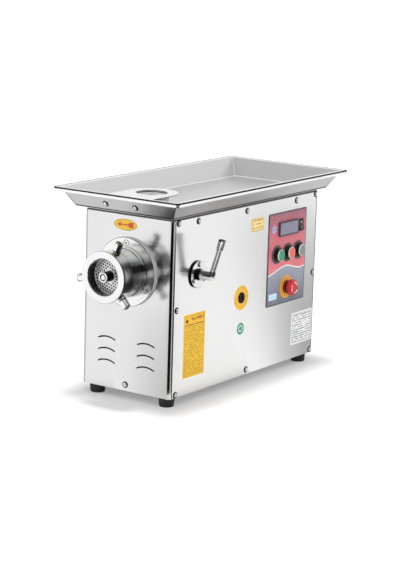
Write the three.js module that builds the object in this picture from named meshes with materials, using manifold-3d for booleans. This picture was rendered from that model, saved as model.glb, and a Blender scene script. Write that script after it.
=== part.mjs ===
// Refrigerated bench meat grinder for size 32 plates, in millimetres, +Z up.
// Modelled with x = 0 on the middle plane (the controls are on the +X side), y = 0 on the
// cabinet's front face and z = 0 under the cabinet; the last lines move the origin to the
// middle of the footprint, at floor level.
import * as THREE from 'three';
import * as BufferGeometryUtils from 'three/addons/utils/BufferGeometryUtils.js';
import Module from 'manifold-3d';

const wasm = await Module();
wasm.setup();

// ---------- Driving dimensions ----------

const clearance = 0.3;            // between pieces that seat on each other
const threadClearance = 0.5;      // ring nut over the barrel's thread
const largeSteps = 24;            // sides of a large round piece
const mediumSteps = 16;
const smallSteps = 12;

// Cabinet of folded sheet
const cabinetWidth = 260;
const cabinetLength = 641;
const cabinetHeight = 424;
const sheet = 1.5;
const cornerRadius = 8;
const flangeDepth = 24;
const baseThickness = 2;
const baseRim = 20;
const footHeight = 24;
const footTopRadius = 20;
const footBottomRadius = 17;
const footInset = 27;             // from the cabinet's sides and ends to a foot's middle

// Front louvres: arched slots in two columns, and straight vents in the rear
const louvreWidth = 51;
const louvreRise = 6;
const louvreSlot = 3;
const louvreColumn = 58;          // from the middle plane to a column's middle
const louvreHeights = [61.5, 90, 118.5];
const ventWidth = 70;
const ventSlot = 5;
const ventColumn = 55;
const ventHeights = [50, 70, 90, 110, 130, 150];

// Loading tray
const trayStandoff = 8;
const traySheet = 1.2;
const trayOverhangSide = 11;
const trayOverhangFront = 19;
const trayOverhangRear = 15;
const traySplay = 28;
const trayRise = 47;
const trayFlange = 13;
const trayLip = 9.5;
const trayBendRadius = 3;
const trayRimRadius = 9;
const sealInset = 8;
const sealWidth = 12;

// Feed throat
const feedDistance = 89;          // from the cabinet's front to the throat's axis
const throatHole = 38;            // radius
const neckWall = 3;
const throatPlateRadius = 64;
const throatPlateThickness = 2;
const throatDepth = 10.3;         // throat plate's top below the tray's rim

// Mincing head
const driveDrop = 134;            // drive axis below the cabinet's top edge
const driveHeight = cabinetHeight - driveDrop;
const headReach = 96;             // ring nut's face ahead of the cabinet
const flangeRadius = 83;
const flangeThickness = 8;
const barrelRadius = 57;
const barrelCollarRadius = 61;
const barrelCollarLength = 8;
const barrelBore = 48;
const barrelThreadRadius = 53;
const barrelInside = 172;         // barrel's length inside the cabinet
const barrelRearWall = 12;
const plateRadius = 49;
const plateThickness = 8;
const plateProud = 2;
const plateHolePitch = 7.3;
const plateHoleRadius = 2.3;
const plateHubRadius = 17.5;
const nutLength = 38;
const nutRadius = 60;
const nutBeadRadius = 62;
const nutBeadLength = 6;
const nutMouthRadius = 44;
const nutMouthDepth = 26;
const nutKnobRadius = 9.75;
const nutKnobLength = 28.5;
const nutKnobSetback = 22.5;      // from the nut's face to the knobs' axes
const nutKnobAngles = [70, 190, 310];
const nutKnobStud = 4;
const jacketThickness = 9;
const jacketFront = 12;

// Auger and knife
const augerPitch = 70;
const augerCoreRadius = 20;
const augerShankRadius = 15;
const augerRunning = 0.6;         // flight to barrel
const studRadius = 12.5;
const knifeThickness = 14;
const knifeReach = 45;
const knifeSquare = 26;
const tangSquare = 20;
const tangLength = 18;

// Gearbox: two equal stages, so the output shaft is in line with the motor
const gearModule = 3.75;
const pinionTeeth = 12;
const wheelTeeth = 36;
const outputFace = 22;
const inputFace = 18;
const caseWall = 8;
const caseSide = 6;
const caseRoom = 3;               // gear tips to the case's side walls
const gearSpacing = 6;
const couplingSpace = 13;         // barrel's rear to the gearbox
const shaftRadius = 15;
const layshaftRadius = 12;
const bearingRadius = 30;
const socketRadius = 22;
const pedestalWidth = 120;
const pedestalWall = 6;

// Motor
const motorRadius = 85;
const motorLength = 230;
const motorWall = 6;
const motorShaftRadius = 12;
const statorThickness = 26;
const statorLength = 140;
const airGap = 0.6;
const fanWidth = 15;
const cowlLength = 52;
const cowlInlet = 45;

// Cooling unit
const compressorRadius = 66;
const compressorY = 400;
const compressorX = -20;
const condenserWidth = 190;
const condenserHeight = 172;
const condenserDepth = 26;
const condenserSetback = 20;
const condenserFins = 15;
const finThickness = 3;
const fanPlate = 4;
const coolingFanRadius = 66;
const coolingFanWidth = 16;
const fanMotorRadius = 24;
const fanMotorLength = 26;
const fanPinRadius = 4;
const pipeRadius = 5;
const pipeBend = 14;              // straight run before a pipe's first bend
const pipeFromSide = 25;          // from the cabinet's side to the pipes' long runs
const pipeShelf = 10;             // each step down of the suction pipe
const suctionDrop = 66;           // suction pipe's end below the compressor's top
const dischargeHeight = 50;

// Head clamp on the right side
const clampY = 101;
const clampDrop = 3;              // clamp screw below the drive axis
const clampHeight = driveHeight - clampDrop;
const clampFlangeRadius = 33;
const clampFlangeThickness = 5;
const clampBossRadius = 13.5;
const clampBossLength = 8;
const spindleRadius = 10.75;
const screwRadius = 9;
const leverReach = 40;            // arm's foot beyond the side panel
const leverArmRadius = 7;
const leverArmLength = 66;
const leverLean = 15;             // degrees, outward from the side panel
const leverTurn = 5;              // degrees from upright, towards the rear
const knobRadius = 9.5;
const knobLength = 26;
const knobChamfer = 1.5;

// Controls on the right side
const controlWidth = 176;
const controlHeight = 237;
const controlThickness = 1.5;
const controlRadius = 5;
const controlFromRear = 58;
const controlFromTop = 33;
const buttonSpacing = 49.5;
const buttonDrop = 106;           // below the control plate's top edge
const buttonBaseRadius = 23.5;
const buttonCollarRadius = 18;
const buttonBezelRadius = 15;
const buttonProud = 15;
const buttonCapRadius = 12.8;
const buttonTravel = 4;
const controlHole = 11;           // radius of a control's barrel
const controlBehind = 28;         // depth of a control behind the side panel
const stopDrop = 195;
const stopHeadRadius = 21;
const stopHeadLength = 14;
const stopProud = 26;
const stopRingRadius = 29.5;
const stopCollarRadius = 17;
const stopStemRadius = 7;
const displayWidth = 89;
const displayHeight = 36;
const displayProud = 5.5;
const displayDrop = 43;           // display's and switch's middle below the plate's top edge
const displayToSwitch = 59;       // between the display's and the switch's middles
const switchWidth = 25;
const switchHeight = 32;
const switchProud = 2;
const switchFromRear = 28.5;      // from the plate's rear edge to the switch's middle
const rockerHalfWidth = 10;
const rockerHalfHeight = 12.8;
const rockerCrown = 4.6;          // rocker's valley above its pivot
const rockerTilt = 11;            // degrees to each side
const rockerRoom = 0.6;

// Cable gland in the rear
const glandRadius = 11;
const glandBore = 5;
const glandX = -80;
const glandHeight = 40;

// ---------- Finishes ----------

const finishes = {
  brushedSteel: { color: 0xdcdddd, roughness: 0.34, metalness: 1 },
  polishedSteel: { color: 0xe6e6e4, roughness: 0.14, metalness: 1 },
  castAlloy: { color: 0xa9adb0, roughness: 0.5, metalness: 0.9 },
  darkSteel: { color: 0x77797c, roughness: 0.45, metalness: 1 },
  copper: { color: 0xc17b52, roughness: 0.35, metalness: 1 },
  blackPaint: { color: 0x1c1d1f, roughness: 0.45, metalness: 0.1 },
  bluePaint: { color: 0x3a5f86, roughness: 0.45, metalness: 0.1 },
  blackRubber: { color: 0x141414, roughness: 0.8, metalness: 0 },
  blackPlastic: { color: 0x111113, roughness: 0.4, metalness: 0 },
  greyPlastic: { color: 0x8e949c, roughness: 0.45, metalness: 0 },
  redPanel: { color: 0xd9505f, roughness: 0.4, metalness: 0 },
  greenPlastic: { color: 0x2fae86, roughness: 0.35, metalness: 0 },
  redPlastic: { color: 0xd8322f, roughness: 0.35, metalness: 0 },
  paleGreyPlastic: { color: 0x858b87, roughness: 0.4, metalness: 0 },
};

// ---------- Geometry helpers ----------

const degrees = Math.PI / 180;

function box(x0, x1, y0, y1, z0, z1) {
  const shape = new THREE.BoxGeometry(x1 - x0, y1 - y0, z1 - z0);
  return shape.translate((x0 + x1) / 2, (y0 + y1) / 2, (z0 + z1) / 2);
}

// Swaps the axes in a ring, which turns a shape without mirroring it.
const yToX = new THREE.Matrix4().set(0, 1, 0, 0, 0, 0, 1, 0, 1, 0, 0, 0, 0, 0, 0, 1);
const yToZ = new THREE.Matrix4().set(0, 0, 1, 0, 1, 0, 0, 0, 0, 1, 0, 0, 0, 0, 0, 1);
const zToX = yToZ;
const zToRear = new THREE.Matrix4().set(1, 0, 0, 0, 0, 0, -1, 0, 0, 1, 0, 0, 0, 0, 0, 1);

// A turned piece from [radius, position] pairs; its outside runs towards the axis' far end.
function turned(profile, steps) {
  const points = profile.map(([radius, along]) => new THREE.Vector2(radius, along));
  return new THREE.LatheGeometry(points, steps);
}

function closedTurned(profile, steps) {
  return turned([...profile, profile[0]], steps);
}

function alongX(geometry, y, z) {
  return geometry.applyMatrix4(yToX).translate(0, y, z);
}

function alongY(geometry, x, z) {
  return geometry.translate(x, 0, z);
}

function alongZ(geometry, x, y) {
  return geometry.applyMatrix4(yToZ).translate(x, y, 0);
}

function plate(shape, thickness, steps = 8) {
  return new THREE.ExtrudeGeometry(shape, {
    depth: thickness,
    bevelEnabled: false,
    curveSegments: steps,
  });
}

// Plates from an outline in the XY, YZ or XZ plane.
function plateUp(shape, z0, z1, steps) {
  return plate(shape, z1 - z0, steps).translate(0, 0, z0);
}

function plateAcross(shape, x0, x1, steps) {
  return plate(shape, x1 - x0, steps).applyMatrix4(zToX).translate(x0, 0, 0);
}

function plateBack(shape, y0, y1, steps) {
  return plate(shape, y1 - y0, steps).applyMatrix4(zToRear).translate(0, y1, 0);
}

function roundedOutline(x0, y0, x1, y1, radius) {
  const shape = new THREE.Shape();
  shape.absarc(x1 - radius, y0 + radius, radius, -Math.PI / 2, 0, false);
  shape.absarc(x1 - radius, y1 - radius, radius, 0, Math.PI / 2, false);
  shape.absarc(x0 + radius, y1 - radius, radius, Math.PI / 2, Math.PI, false);
  shape.absarc(x0 + radius, y0 + radius, radius, Math.PI, 1.5 * Math.PI, false);
  return shape;
}

function circleOutline(radius, x = 0, y = 0) {
  return new THREE.Shape().absarc(x, y, radius, 0, 2 * Math.PI, false);
}

// A round hole in an outline; its sides, not corners, stand at the radius.
function boreOutline(radius) {
  const corners = [];
  for (let i = 0; i < smallSteps; i++) {
    const angle = i * 2 * Math.PI / smallSteps;
    const reach = acrossCorners(radius, smallSteps);
    corners.push(new THREE.Vector2(reach * Math.cos(angle), reach * Math.sin(angle)));
  }
  return new THREE.Path(corners);
}

function outlineOf(points) {
  return new THREE.Shape(points.map(([x, y]) => new THREE.Vector2(x, y)));
}

function toSolid(geometry) {
  const bare = geometry.clone();
  bare.deleteAttribute('normal');
  bare.deleteAttribute('uv');
  const merged = BufferGeometryUtils.mergeVertices(bare, 1e-3);
  return new wasm.Manifold(new wasm.Mesh({
    numProp: 3,
    vertProperties: new Float32Array(merged.attributes.position.array),
    triVerts: new Uint32Array(merged.index.array),
  }));
}

function fromSolid(solid) {
  const mesh = solid.getMesh();
  const geometry = new THREE.BufferGeometry();
  geometry.setAttribute('position', new THREE.BufferAttribute(mesh.vertProperties, 3));
  geometry.setIndex(new THREE.BufferAttribute(mesh.triVerts, 1));
  geometry.computeVertexNormals();
  return geometry;
}

function cut(geometry, ...cutters) {
  return fromSolid(cutters.reduce((solid, tool) => solid.subtract(toSolid(tool)), toSolid(geometry)));
}

function join(geometry, ...others) {
  return fromSolid(others.reduce((solid, other) => solid.add(toSolid(other)), toSolid(geometry)));
}

function rodAcross(radius, x0, x1, y, z, steps = smallSteps) {
  return alongX(turned([[0, x0], [radius, x0], [radius, x1], [0, x1]], steps), y, z);
}

function rodBack(radius, y0, y1, x, z, steps = smallSteps) {
  return alongY(turned([[0, y0], [radius, y0], [radius, y1], [0, y1]], steps), x, z);
}

function rodUp(radius, z0, z1, x, y, steps = smallSteps) {
  return alongZ(turned([[0, z0], [radius, z0], [radius, z1], [0, z1]], steps), x, y);
}

// Cutters for round holes: their sides, not corners, stand at the radius.
function acrossCorners(radius, steps) {
  return radius / Math.cos(Math.PI / steps);
}

function holeAcross(radius, x0, x1, y, z, steps = smallSteps) {
  return rodAcross(acrossCorners(radius, steps), x0, x1, y, z, steps);
}

function holeBack(radius, y0, y1, x, z, steps = smallSteps) {
  return rodBack(acrossCorners(radius, steps), y0, y1, x, z, steps);
}

function holeUp(radius, z0, z1, x, y, steps = smallSteps) {
  return rodUp(acrossCorners(radius, steps), z0, z1, x, y, steps);
}

// Turns a plate along Y about its own axis as it goes back, which makes a helix of it.
function twistAlongY(geometry, y0, degreesPerMillimetre) {
  const place = geometry.attributes.position;
  for (let i = 0; i < place.count; i++) {
    const angle = (place.getY(i) - y0) * degreesPerMillimetre * degrees;
    const x = place.getX(i);
    const z = place.getZ(i);
    place.setX(i, x * Math.cos(angle) + z * Math.sin(angle));
    place.setZ(i, z * Math.cos(angle) - x * Math.sin(angle));
  }
  return geometry;
}

// ---------- The machine ----------

const machine = new THREE.Group();

function addPiece(name, geometry, finish) {
  const piece = new THREE.Mesh(geometry, new THREE.MeshStandardMaterial(finish));
  piece.name = name;
  machine.add(piece);
}

// ---------- Cabinet ----------

const halfWidth = cabinetWidth / 2;
const panelInner = halfWidth - sheet;
const flangeOuter = panelInner - clearance;
const flangeInner = flangeOuter - sheet;
const boardHalfWidth = flangeInner - clearance;
const boardRadius = cornerRadius * 1.6;

// Plan of the base and the deck, which fit inside the folded corners of the end panels.
function boardOutline(inset = 0) {
  const end = sheet + clearance + inset;
  const side = boardHalfWidth - inset;
  return roundedOutline(-side, end, side, cabinetLength - end, boardRadius - inset);
}

// Plan of an end panel: a face, two bent corners, and a return tucked behind each side panel.
function endPanelOutline() {
  const corner = [];
  const bendSteps = 4;
  for (let i = 0; i <= bendSteps; i++) {
    const angle = (i / bendSteps) * Math.PI / 2;
    corner.push([
      halfWidth - cornerRadius + cornerRadius * Math.sin(angle),
      cornerRadius - cornerRadius * Math.cos(angle),
    ]);
  }
  const right = [
    ...corner,
    [flangeOuter, cornerRadius],
    [flangeOuter, cornerRadius + flangeDepth],
    [flangeInner, cornerRadius + flangeDepth],
    [flangeInner, cornerRadius],
    [halfWidth - cornerRadius, sheet],
  ];
  const left = right.map(([x, y]) => [-x, y]).reverse();
  return outlineOf([...right, ...left]);
}

// An arched slot as an outline in the XZ plane.
function louvreOutline(x, z) {
  const radius = (louvreWidth ** 2 / 4 + louvreRise ** 2) / (2 * louvreRise);
  const halfAngle = Math.asin(louvreWidth / 2 / radius);
  const middle = z + louvreRise - radius;
  const shape = new THREE.Shape();
  const from = Math.PI / 2 - halfAngle;
  const to = Math.PI / 2 + halfAngle;
  shape.absarc(x, middle, radius + louvreSlot / 2, from, to, false);
  shape.absarc(x, middle, radius - louvreSlot / 2, to, from, true);
  return shape;
}

const louvreCuts = [];
for (const z of louvreHeights) {
  for (const side of [-1, 1]) {
    louvreCuts.push(plateBack(louvreOutline(side * louvreColumn, z), -sheet, 2 * sheet, 3));
  }
}
const headHole = holeBack(barrelRadius + 2 * clearance, -sheet, 2 * sheet, 0, driveHeight, largeSteps);
addPiece(
  'front_panel',
  cut(plateUp(endPanelOutline(), 0, cabinetHeight), headHole, ...louvreCuts),
  finishes.brushedSteel,
);

const ventCuts = [];
for (const z of ventHeights) {
  for (const side of [-1, 1]) {
    const x = side * ventColumn;
    ventCuts.push(box(
      x - ventWidth / 2,
      x + ventWidth / 2,
      cabinetLength - 2 * sheet,
      cabinetLength + sheet,
      z - ventSlot / 2,
      z + ventSlot / 2,
    ));
  }
}
const halfTurn = new THREE.Matrix4().makeScale(-1, -1, 1);
const rearBlank = plateUp(endPanelOutline(), 0, cabinetHeight)
  .applyMatrix4(halfTurn)
  .translate(0, cabinetLength, 0);
const glandHole = holeBack(
  glandBore + 3,
  cabinetLength - 2 * sheet,
  cabinetLength + sheet,
  glandX,
  glandHeight,
);
addPiece('rear_panel', cut(rearBlank, glandHole, ...ventCuts), finishes.brushedSteel);

const sideFront = cornerRadius + clearance;
const sideRear = cabinetLength - cornerRadius - clearance;
addPiece(
  'left_panel',
  box(-halfWidth, -panelInner, sideFront, sideRear, 0, cabinetHeight),
  finishes.brushedSteel,
);

const basePocket = plateUp(boardOutline(baseThickness), baseThickness, baseRim + 1, 2);
addPiece(
  'base_pan',
  cut(plateUp(boardOutline(), 0, baseRim, 2), basePocket),
  finishes.brushedSteel,
);

for (const [end, y] of [['front', footInset], ['rear', cabinetLength - footInset]]) {
  for (const [side, sign] of [['left', -1], ['right', 1]]) {
    const foot = turned([
      [0, -footHeight],
      [footBottomRadius, -footHeight],
      [footTopRadius, -clearance],
      [0, -clearance],
    ], smallSteps);
    addPiece(
      `foot_${end}_${side}`,
      alongZ(foot, sign * (halfWidth - footInset), y),
      finishes.blackRubber,
    );
  }
}

// ---------- Tray, its seal and the feed throat ----------

const neckRadius = throatHole + neckWall;
const trayBottom = cabinetHeight + trayStandoff;
const trayTop = trayBottom + trayRise;
const throatTop = trayTop - throatDepth;
const throatBottom = throatTop - throatPlateThickness;

const neckHole = (z0, z1) => holeUp(neckRadius + clearance, z0, z1, 0, feedDistance, largeSteps);
addPiece(
  'deck_plate',
  cut(
    plateUp(boardOutline(), cabinetHeight - sheet, cabinetHeight, 2),
    neckHole(cabinetHeight - 2 * sheet, cabinetHeight + sheet),
  ),
  finishes.brushedSteel,
);

function sealOutline(inset) {
  return roundedOutline(
    inset - halfWidth,
    inset,
    halfWidth - inset,
    cabinetLength - inset,
    cornerRadius,
  );
}
addPiece(
  'tray_seal',
  cut(
    plateUp(sealOutline(sealInset), cabinetHeight, trayBottom, 2),
    plateUp(sealOutline(sealInset + sealWidth), cabinetHeight - 1, trayBottom + 1, 2),
  ),
  finishes.blackRubber,
);

// The tray's section: how far each bend lies outside the floor's edge, its height above the
// tray's underside, and its corner radius.
const trayWallAcross = traySheet * Math.hypot(trayRise, traySplay) / trayRise;
const traySection = [
  [0, 0, trayBendRadius],
  [traySplay, trayRise - traySheet, trayBendRadius],
  [traySplay + trayFlange - traySheet, trayRise - traySheet, trayRimRadius - traySheet],
  [traySplay + trayFlange - traySheet, trayRise - trayLip, trayRimRadius - traySheet],
  [traySplay + trayFlange, trayRise - trayLip, trayRimRadius],
  [traySplay + trayFlange, trayRise - traySheet, trayRimRadius],
  [traySplay + trayFlange - traySheet, trayRise, trayRimRadius - traySheet],
  [traySplay - trayWallAcross, trayRise, trayBendRadius],
  [-trayWallAcross, traySheet, trayBendRadius],
];

function trayRing([out, up, radius]) {
  const x = halfWidth + trayOverhangSide + out;
  const y0 = -trayOverhangFront - out;
  const y1 = cabinetLength + trayOverhangRear + out;
  return roundedOutline(-x, y0, x, y1, radius)
    .getPoints(2)
    .slice(0, -1)
    .map((point) => [point.x, point.y, trayBottom + up]);
}

function trayGeometry() {
  const rings = traySection.map(trayRing);
  const count = rings[0].length;
  const faces = [];
  for (let level = 0; level < rings.length - 1; level++) {
    for (let i = 0; i < count; i++) {
      const next = (i + 1) % count;
      const low = rings[level];
      const high = rings[level + 1];
      faces.push(low[i], low[next], high[next], low[i], high[next], high[i]);
    }
  }
  const underside = rings[0];
  const floor = rings[rings.length - 1];
  for (let i = 1; i < count - 1; i++) {
    faces.push(underside[0], underside[i + 1], underside[i]);
    faces.push(floor[0], floor[i], floor[i + 1]);
  }
  const geometry = new THREE.BufferGeometry();
  geometry.setAttribute('position', new THREE.Float32BufferAttribute(faces.flat(), 3));
  return geometry;
}
addPiece(
  'tray',
  cut(trayGeometry(), neckHole(trayBottom - 1, trayBottom + traySheet + 1)),
  finishes.brushedSteel,
);

// Height at which the tray's front wall meets the throat plate, as a place along Y.
const trayWallAtThroat = traySplay * (throatBottom - trayBottom) / trayRise;
const throatFront = -trayOverhangFront - trayWallAtThroat + trayWallAcross + 2 * clearance;
const throatOutline = new THREE.Shape();
throatOutline.moveTo(-throatPlateRadius, throatFront);
throatOutline.lineTo(throatPlateRadius, throatFront);
throatOutline.absarc(0, feedDistance, throatPlateRadius, 0, Math.PI, false);
throatOutline.holes.push(circleOutline(throatHole, 0, feedDistance));
addPiece(
  'throat_plate',
  plateUp(throatOutline, throatBottom, throatTop, largeSteps / 2),
  finishes.polishedSteel,
);

const neckFoot = driveHeight + barrelRadius / 2;
const neck = alongZ(closedTurned([
  [neckRadius, neckFoot],
  [neckRadius, throatBottom - clearance],
  [throatHole, throatBottom - clearance],
  [throatHole, neckFoot],
], largeSteps), 0, feedDistance);
const barrelSpace = holeBack(
  barrelRadius + clearance,
  feedDistance - 2 * neckRadius,
  feedDistance + 2 * neckRadius,
  0,
  driveHeight,
  largeSteps,
);
addPiece('feed_neck', cut(neck, barrelSpace), finishes.polishedSteel);

// ---------- Mincing head ----------

const nutFront = -headReach;
const nutRear = nutFront + nutLength;
const plateFront = nutFront + nutMouthDepth + clearance;
const plateRear = plateFront + plateThickness;
const plateSeat = plateRear + clearance;
const barrelFront = plateFront + plateProud;
const knifeRear = plateSeat + knifeThickness;
const flightFront = knifeRear + clearance;

const headFlange = closedTurned([
  [flangeRadius, -flangeThickness],
  [flangeRadius, -clearance],
  [barrelRadius + clearance, -clearance],
  [barrelRadius + clearance, -flangeThickness],
], largeSteps);
addPiece('head_flange', alongY(headFlange, 0, driveHeight), finishes.polishedSteel);

const collarRear = -flangeThickness - clearance;
const bushRadius = augerShankRadius + clearance;
const barrel = alongY(closedTurned([
  [barrelThreadRadius, barrelFront],
  [barrelThreadRadius, nutRear + clearance],
  [barrelRadius, nutRear + clearance],
  [barrelRadius, collarRear - barrelCollarLength],
  [barrelCollarRadius, collarRear - barrelCollarLength],
  [barrelCollarRadius, collarRear],
  [barrelRadius, collarRear],
  [barrelRadius, barrelInside],
  [bushRadius, barrelInside],
  [bushRadius, barrelInside - barrelRearWall],
  [barrelBore, barrelInside - barrelRearWall],
  [barrelBore, plateSeat],
  [plateRadius + clearance, plateSeat],
  [plateRadius + clearance, barrelFront],
], largeSteps), 0, driveHeight);
const feedHole = holeUp(throatHole, driveHeight, driveHeight + 2 * barrelRadius, 0, feedDistance, largeSteps);
addPiece('head_barrel', cut(barrel, feedHole), finishes.polishedSteel);

const jacketRadius = barrelRadius + clearance + jacketThickness;
const jacketRear = barrelInside - barrelRearWall;
const jacket = alongY(closedTurned([
  [jacketRadius, jacketFront],
  [jacketRadius, jacketRear],
  [barrelRadius + clearance, jacketRear],
  [barrelRadius + clearance, jacketFront],
], largeSteps), 0, driveHeight);
addPiece(
  'cooling_jacket',
  cut(
    jacket,
    neckHole(driveHeight, driveHeight + 2 * jacketRadius),
    holeAcross(screwRadius + clearance, 0, 2 * jacketRadius, clampY, clampHeight),
  ),
  finishes.copper,
);

// Mincing plate: rings of holes on a hexagonal grid around a solid hub.
function mincingPlateOutline() {
  const shape = circleOutline(plateRadius);
  shape.holes.push(boreOutline(studRadius + clearance));
  const reach = Math.ceil(plateRadius / plateHolePitch) + 1;
  for (let row = -reach; row <= reach; row++) {
    for (let column = -reach; column <= reach; column++) {
      const x = plateHolePitch * (column + (Math.abs(row) % 2) / 2);
      const y = plateHolePitch * row * Math.sqrt(3) / 2;
      const distance = Math.hypot(x, y);
      const drilled = distance > plateHubRadius && distance < nutMouthRadius - plateHoleRadius / 2;
      if (drilled) {
        const corners = [];
        for (let i = 0; i < 6; i++) {
          const angle = i * 60 * degrees;
          corners.push(new THREE.Vector2(
            x + plateHoleRadius * Math.cos(angle),
            y + plateHoleRadius * Math.sin(angle),
          ));
        }
        shape.holes.push(new THREE.Path(corners));
      }
    }
  }
  return shape;
}
const mincingPlate = plateBack(mincingPlateOutline(), plateFront, plateRear, largeSteps / 2);
addPiece('mincing_plate', mincingPlate.translate(0, 0, driveHeight), finishes.brushedSteel);

// Ring nut with three knobs to turn it by. Each knob's stud stands in a blind hole.
const nutChamfer = 1.2;
const nut = closedTurned([
  [nutMouthRadius, nutFront],
  [nutBeadRadius - nutChamfer, nutFront],
  [nutBeadRadius, nutFront + nutChamfer],
  [nutBeadRadius, nutFront + nutBeadLength],
  [nutRadius, nutFront + nutBeadLength],
  [nutRadius, nutRear],
  [barrelThreadRadius + threadClearance, nutRear],
  [barrelThreadRadius + threadClearance, nutFront + nutMouthDepth],
  [nutMouthRadius, nutFront + nutMouthDepth],
], largeSteps);
const nutKnobY = nutFront + nutKnobSetback;
const studDepth = 4;
const radialPlace = (geometry, angle) => geometry
  .rotateY((90 - angle) * degrees)
  .translate(0, nutKnobY, driveHeight);
const studHole = () => holeUp(nutKnobStud + clearance, nutRadius - studDepth, nutRadius + 5, 0, 0);
addPiece(
  'ring_nut',
  cut(alongY(nut, 0, driveHeight), ...nutKnobAngles.map((angle) => radialPlace(studHole(), angle))),
  finishes.polishedSteel,
);
nutKnobAngles.forEach((angle, index) => {
  const inner = nutRadius - studDepth + clearance;
  const root = nutRadius + clearance;
  const tip = nutRadius + nutKnobLength;
  const knob = turned([
    [0, inner],
    [nutKnobStud, inner],
    [nutKnobStud, root],
    [nutKnobRadius, root],
    [nutKnobRadius, tip - nutChamfer],
    [nutKnobRadius - nutChamfer, tip],
    [0, tip],
  ], smallSteps);
  addPiece(`ring_knob_${index + 1}`, radialPlace(alongZ(knob, 0, 0), angle), finishes.polishedSteel);
});

// ---------- Auger and knife ----------

const flightRadius = barrelBore - augerRunning;
const flightRear = barrelInside - barrelRearWall - 2 * augerRunning;
const caseFront = barrelInside + couplingSpace;
const socketFront = caseFront - bearingRadius / 4;
const shankRear = socketFront - clearance;
const studFront = nutFront + clearance;
const studChamfer = 1.5;

function squareBack(side, y0, y1) {
  return box(-side / 2, side / 2, y0, y1, -side / 2, side / 2);
}

const flightArc = 50 * degrees;
const flightOutline = new THREE.Shape();
flightOutline.absarc(0, 0, flightRadius, -flightArc / 2, flightArc / 2, false);
flightOutline.absarc(0, 0, augerShankRadius, flightArc / 2, -flightArc / 2, true);
const flightTurnStep = 30;
const flightSteps = Math.round((flightRear - flightFront) / augerPitch * 360 / flightTurnStep);
const flight = new THREE.ExtrudeGeometry(flightOutline, {
  depth: flightRear - flightFront,
  steps: flightSteps,
  bevelEnabled: false,
  curveSegments: 2,
});
flight.applyMatrix4(zToRear).translate(0, flightRear, 0);
twistAlongY(flight, flightFront, 360 / augerPitch);
const augerCore = turned([
  [0, studFront],
  [studRadius - studChamfer, studFront],
  [studRadius, studFront + studChamfer],
  [studRadius, flightFront],
  [augerCoreRadius, flightFront],
  [augerCoreRadius, flightRear],
  [augerShankRadius, flightRear],
  [augerShankRadius, shankRear],
  [0, shankRear],
], mediumSteps);
const auger = join(
  augerCore,
  flight,
  squareBack(knifeSquare - 2 * clearance, plateSeat, flightFront + 1),
  squareBack(tangSquare - 2 * clearance, shankRear - 1, socketFront + tangLength - clearance),
);
addPiece('auger', auger.translate(0, 0, driveHeight), finishes.polishedSteel);

// Four-armed knife on the auger's square.
function knifeOutline() {
  const hub = knifeSquare * 0.85;
  const points = [];
  for (let arm = 0; arm < 4; arm++) {
    for (const [radius, angle] of [[hub, -38], [knifeReach, -14], [knifeReach, 8], [hub, 22]]) {
      const direction = (arm * 90 + angle) * degrees;
      points.push([radius * Math.cos(direction), radius * Math.sin(direction)]);
    }
  }
  const shape = outlineOf(points);
  const half = knifeSquare / 2;
  const square = [[-half, -half], [-half, half], [half, half], [half, -half]];
  shape.holes.push(new THREE.Path(square.map(([x, y]) => new THREE.Vector2(x, y))));
  return shape;
}
const knife = plateBack(knifeOutline(), plateSeat, knifeRear);
addPiece('knife', knife.translate(0, 0, driveHeight), finishes.polishedSteel);

// ---------- Gearbox ----------

const pocketDepth = 4;
const centreDistance = gearModule * (pinionTeeth + wheelTeeth) / 2;
const wheelTip = gearModule * (wheelTeeth / 2 + 0.8);
const layshaftHeight = driveHeight - centreDistance;
const outputFront = caseFront + caseWall + gearSpacing + pocketDepth;
const outputRear = outputFront + outputFace;
const inputFront = outputRear + gearSpacing;
const inputRear = inputFront + inputFace;
const coverFront = inputRear + gearSpacing - 1;
const coverRear = coverFront + clearance + caseWall;
const caseInner = wheelTip + caseRoom;
const caseOuter = caseInner + caseSide;
const caseBottom = layshaftHeight - caseOuter;

// Teeth with straight flanks and a little backlash; the first stands at the start angle.
function gearOutline(teeth, startAngle, boreRadius) {
  const pitchRadius = gearModule * teeth / 2;
  const addendum = 0.8 * gearModule;
  const dedendum = 1.15 * gearModule;
  const halfTooth = gearModule * Math.PI / 4 * 0.82;
  const slope = Math.tan(20 * degrees);
  const tip = pitchRadius + addendum;
  const root = pitchRadius - dedendum;
  const tipHalfAngle = (halfTooth - addendum * slope) / tip;
  const rootHalfAngle = (halfTooth + dedendum * slope) / root;
  const points = [];
  for (let i = 0; i < teeth; i++) {
    const middle = startAngle * degrees + i * 2 * Math.PI / teeth;
    const corners = [
      [root, -rootHalfAngle],
      [tip, -tipHalfAngle],
      [tip, tipHalfAngle],
      [root, rootHalfAngle],
    ];
    for (const [radius, offset] of corners) {
      points.push([radius * Math.cos(middle + offset), radius * Math.sin(middle + offset)]);
    }
  }
  const shape = outlineOf(points);
  if (boreRadius > 0) {
    shape.holes.push(boreOutline(boreRadius));
  }
  return shape;
}

// Outline of the gearbox: round over the output shaft, square at the foot.
function caseOutline(halfAcross, foot) {
  const shape = new THREE.Shape();
  shape.moveTo(-halfAcross, foot);
  shape.lineTo(halfAcross, foot);
  shape.absarc(0, driveHeight, halfAcross, 0, Math.PI, false);
  return shape;
}

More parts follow.
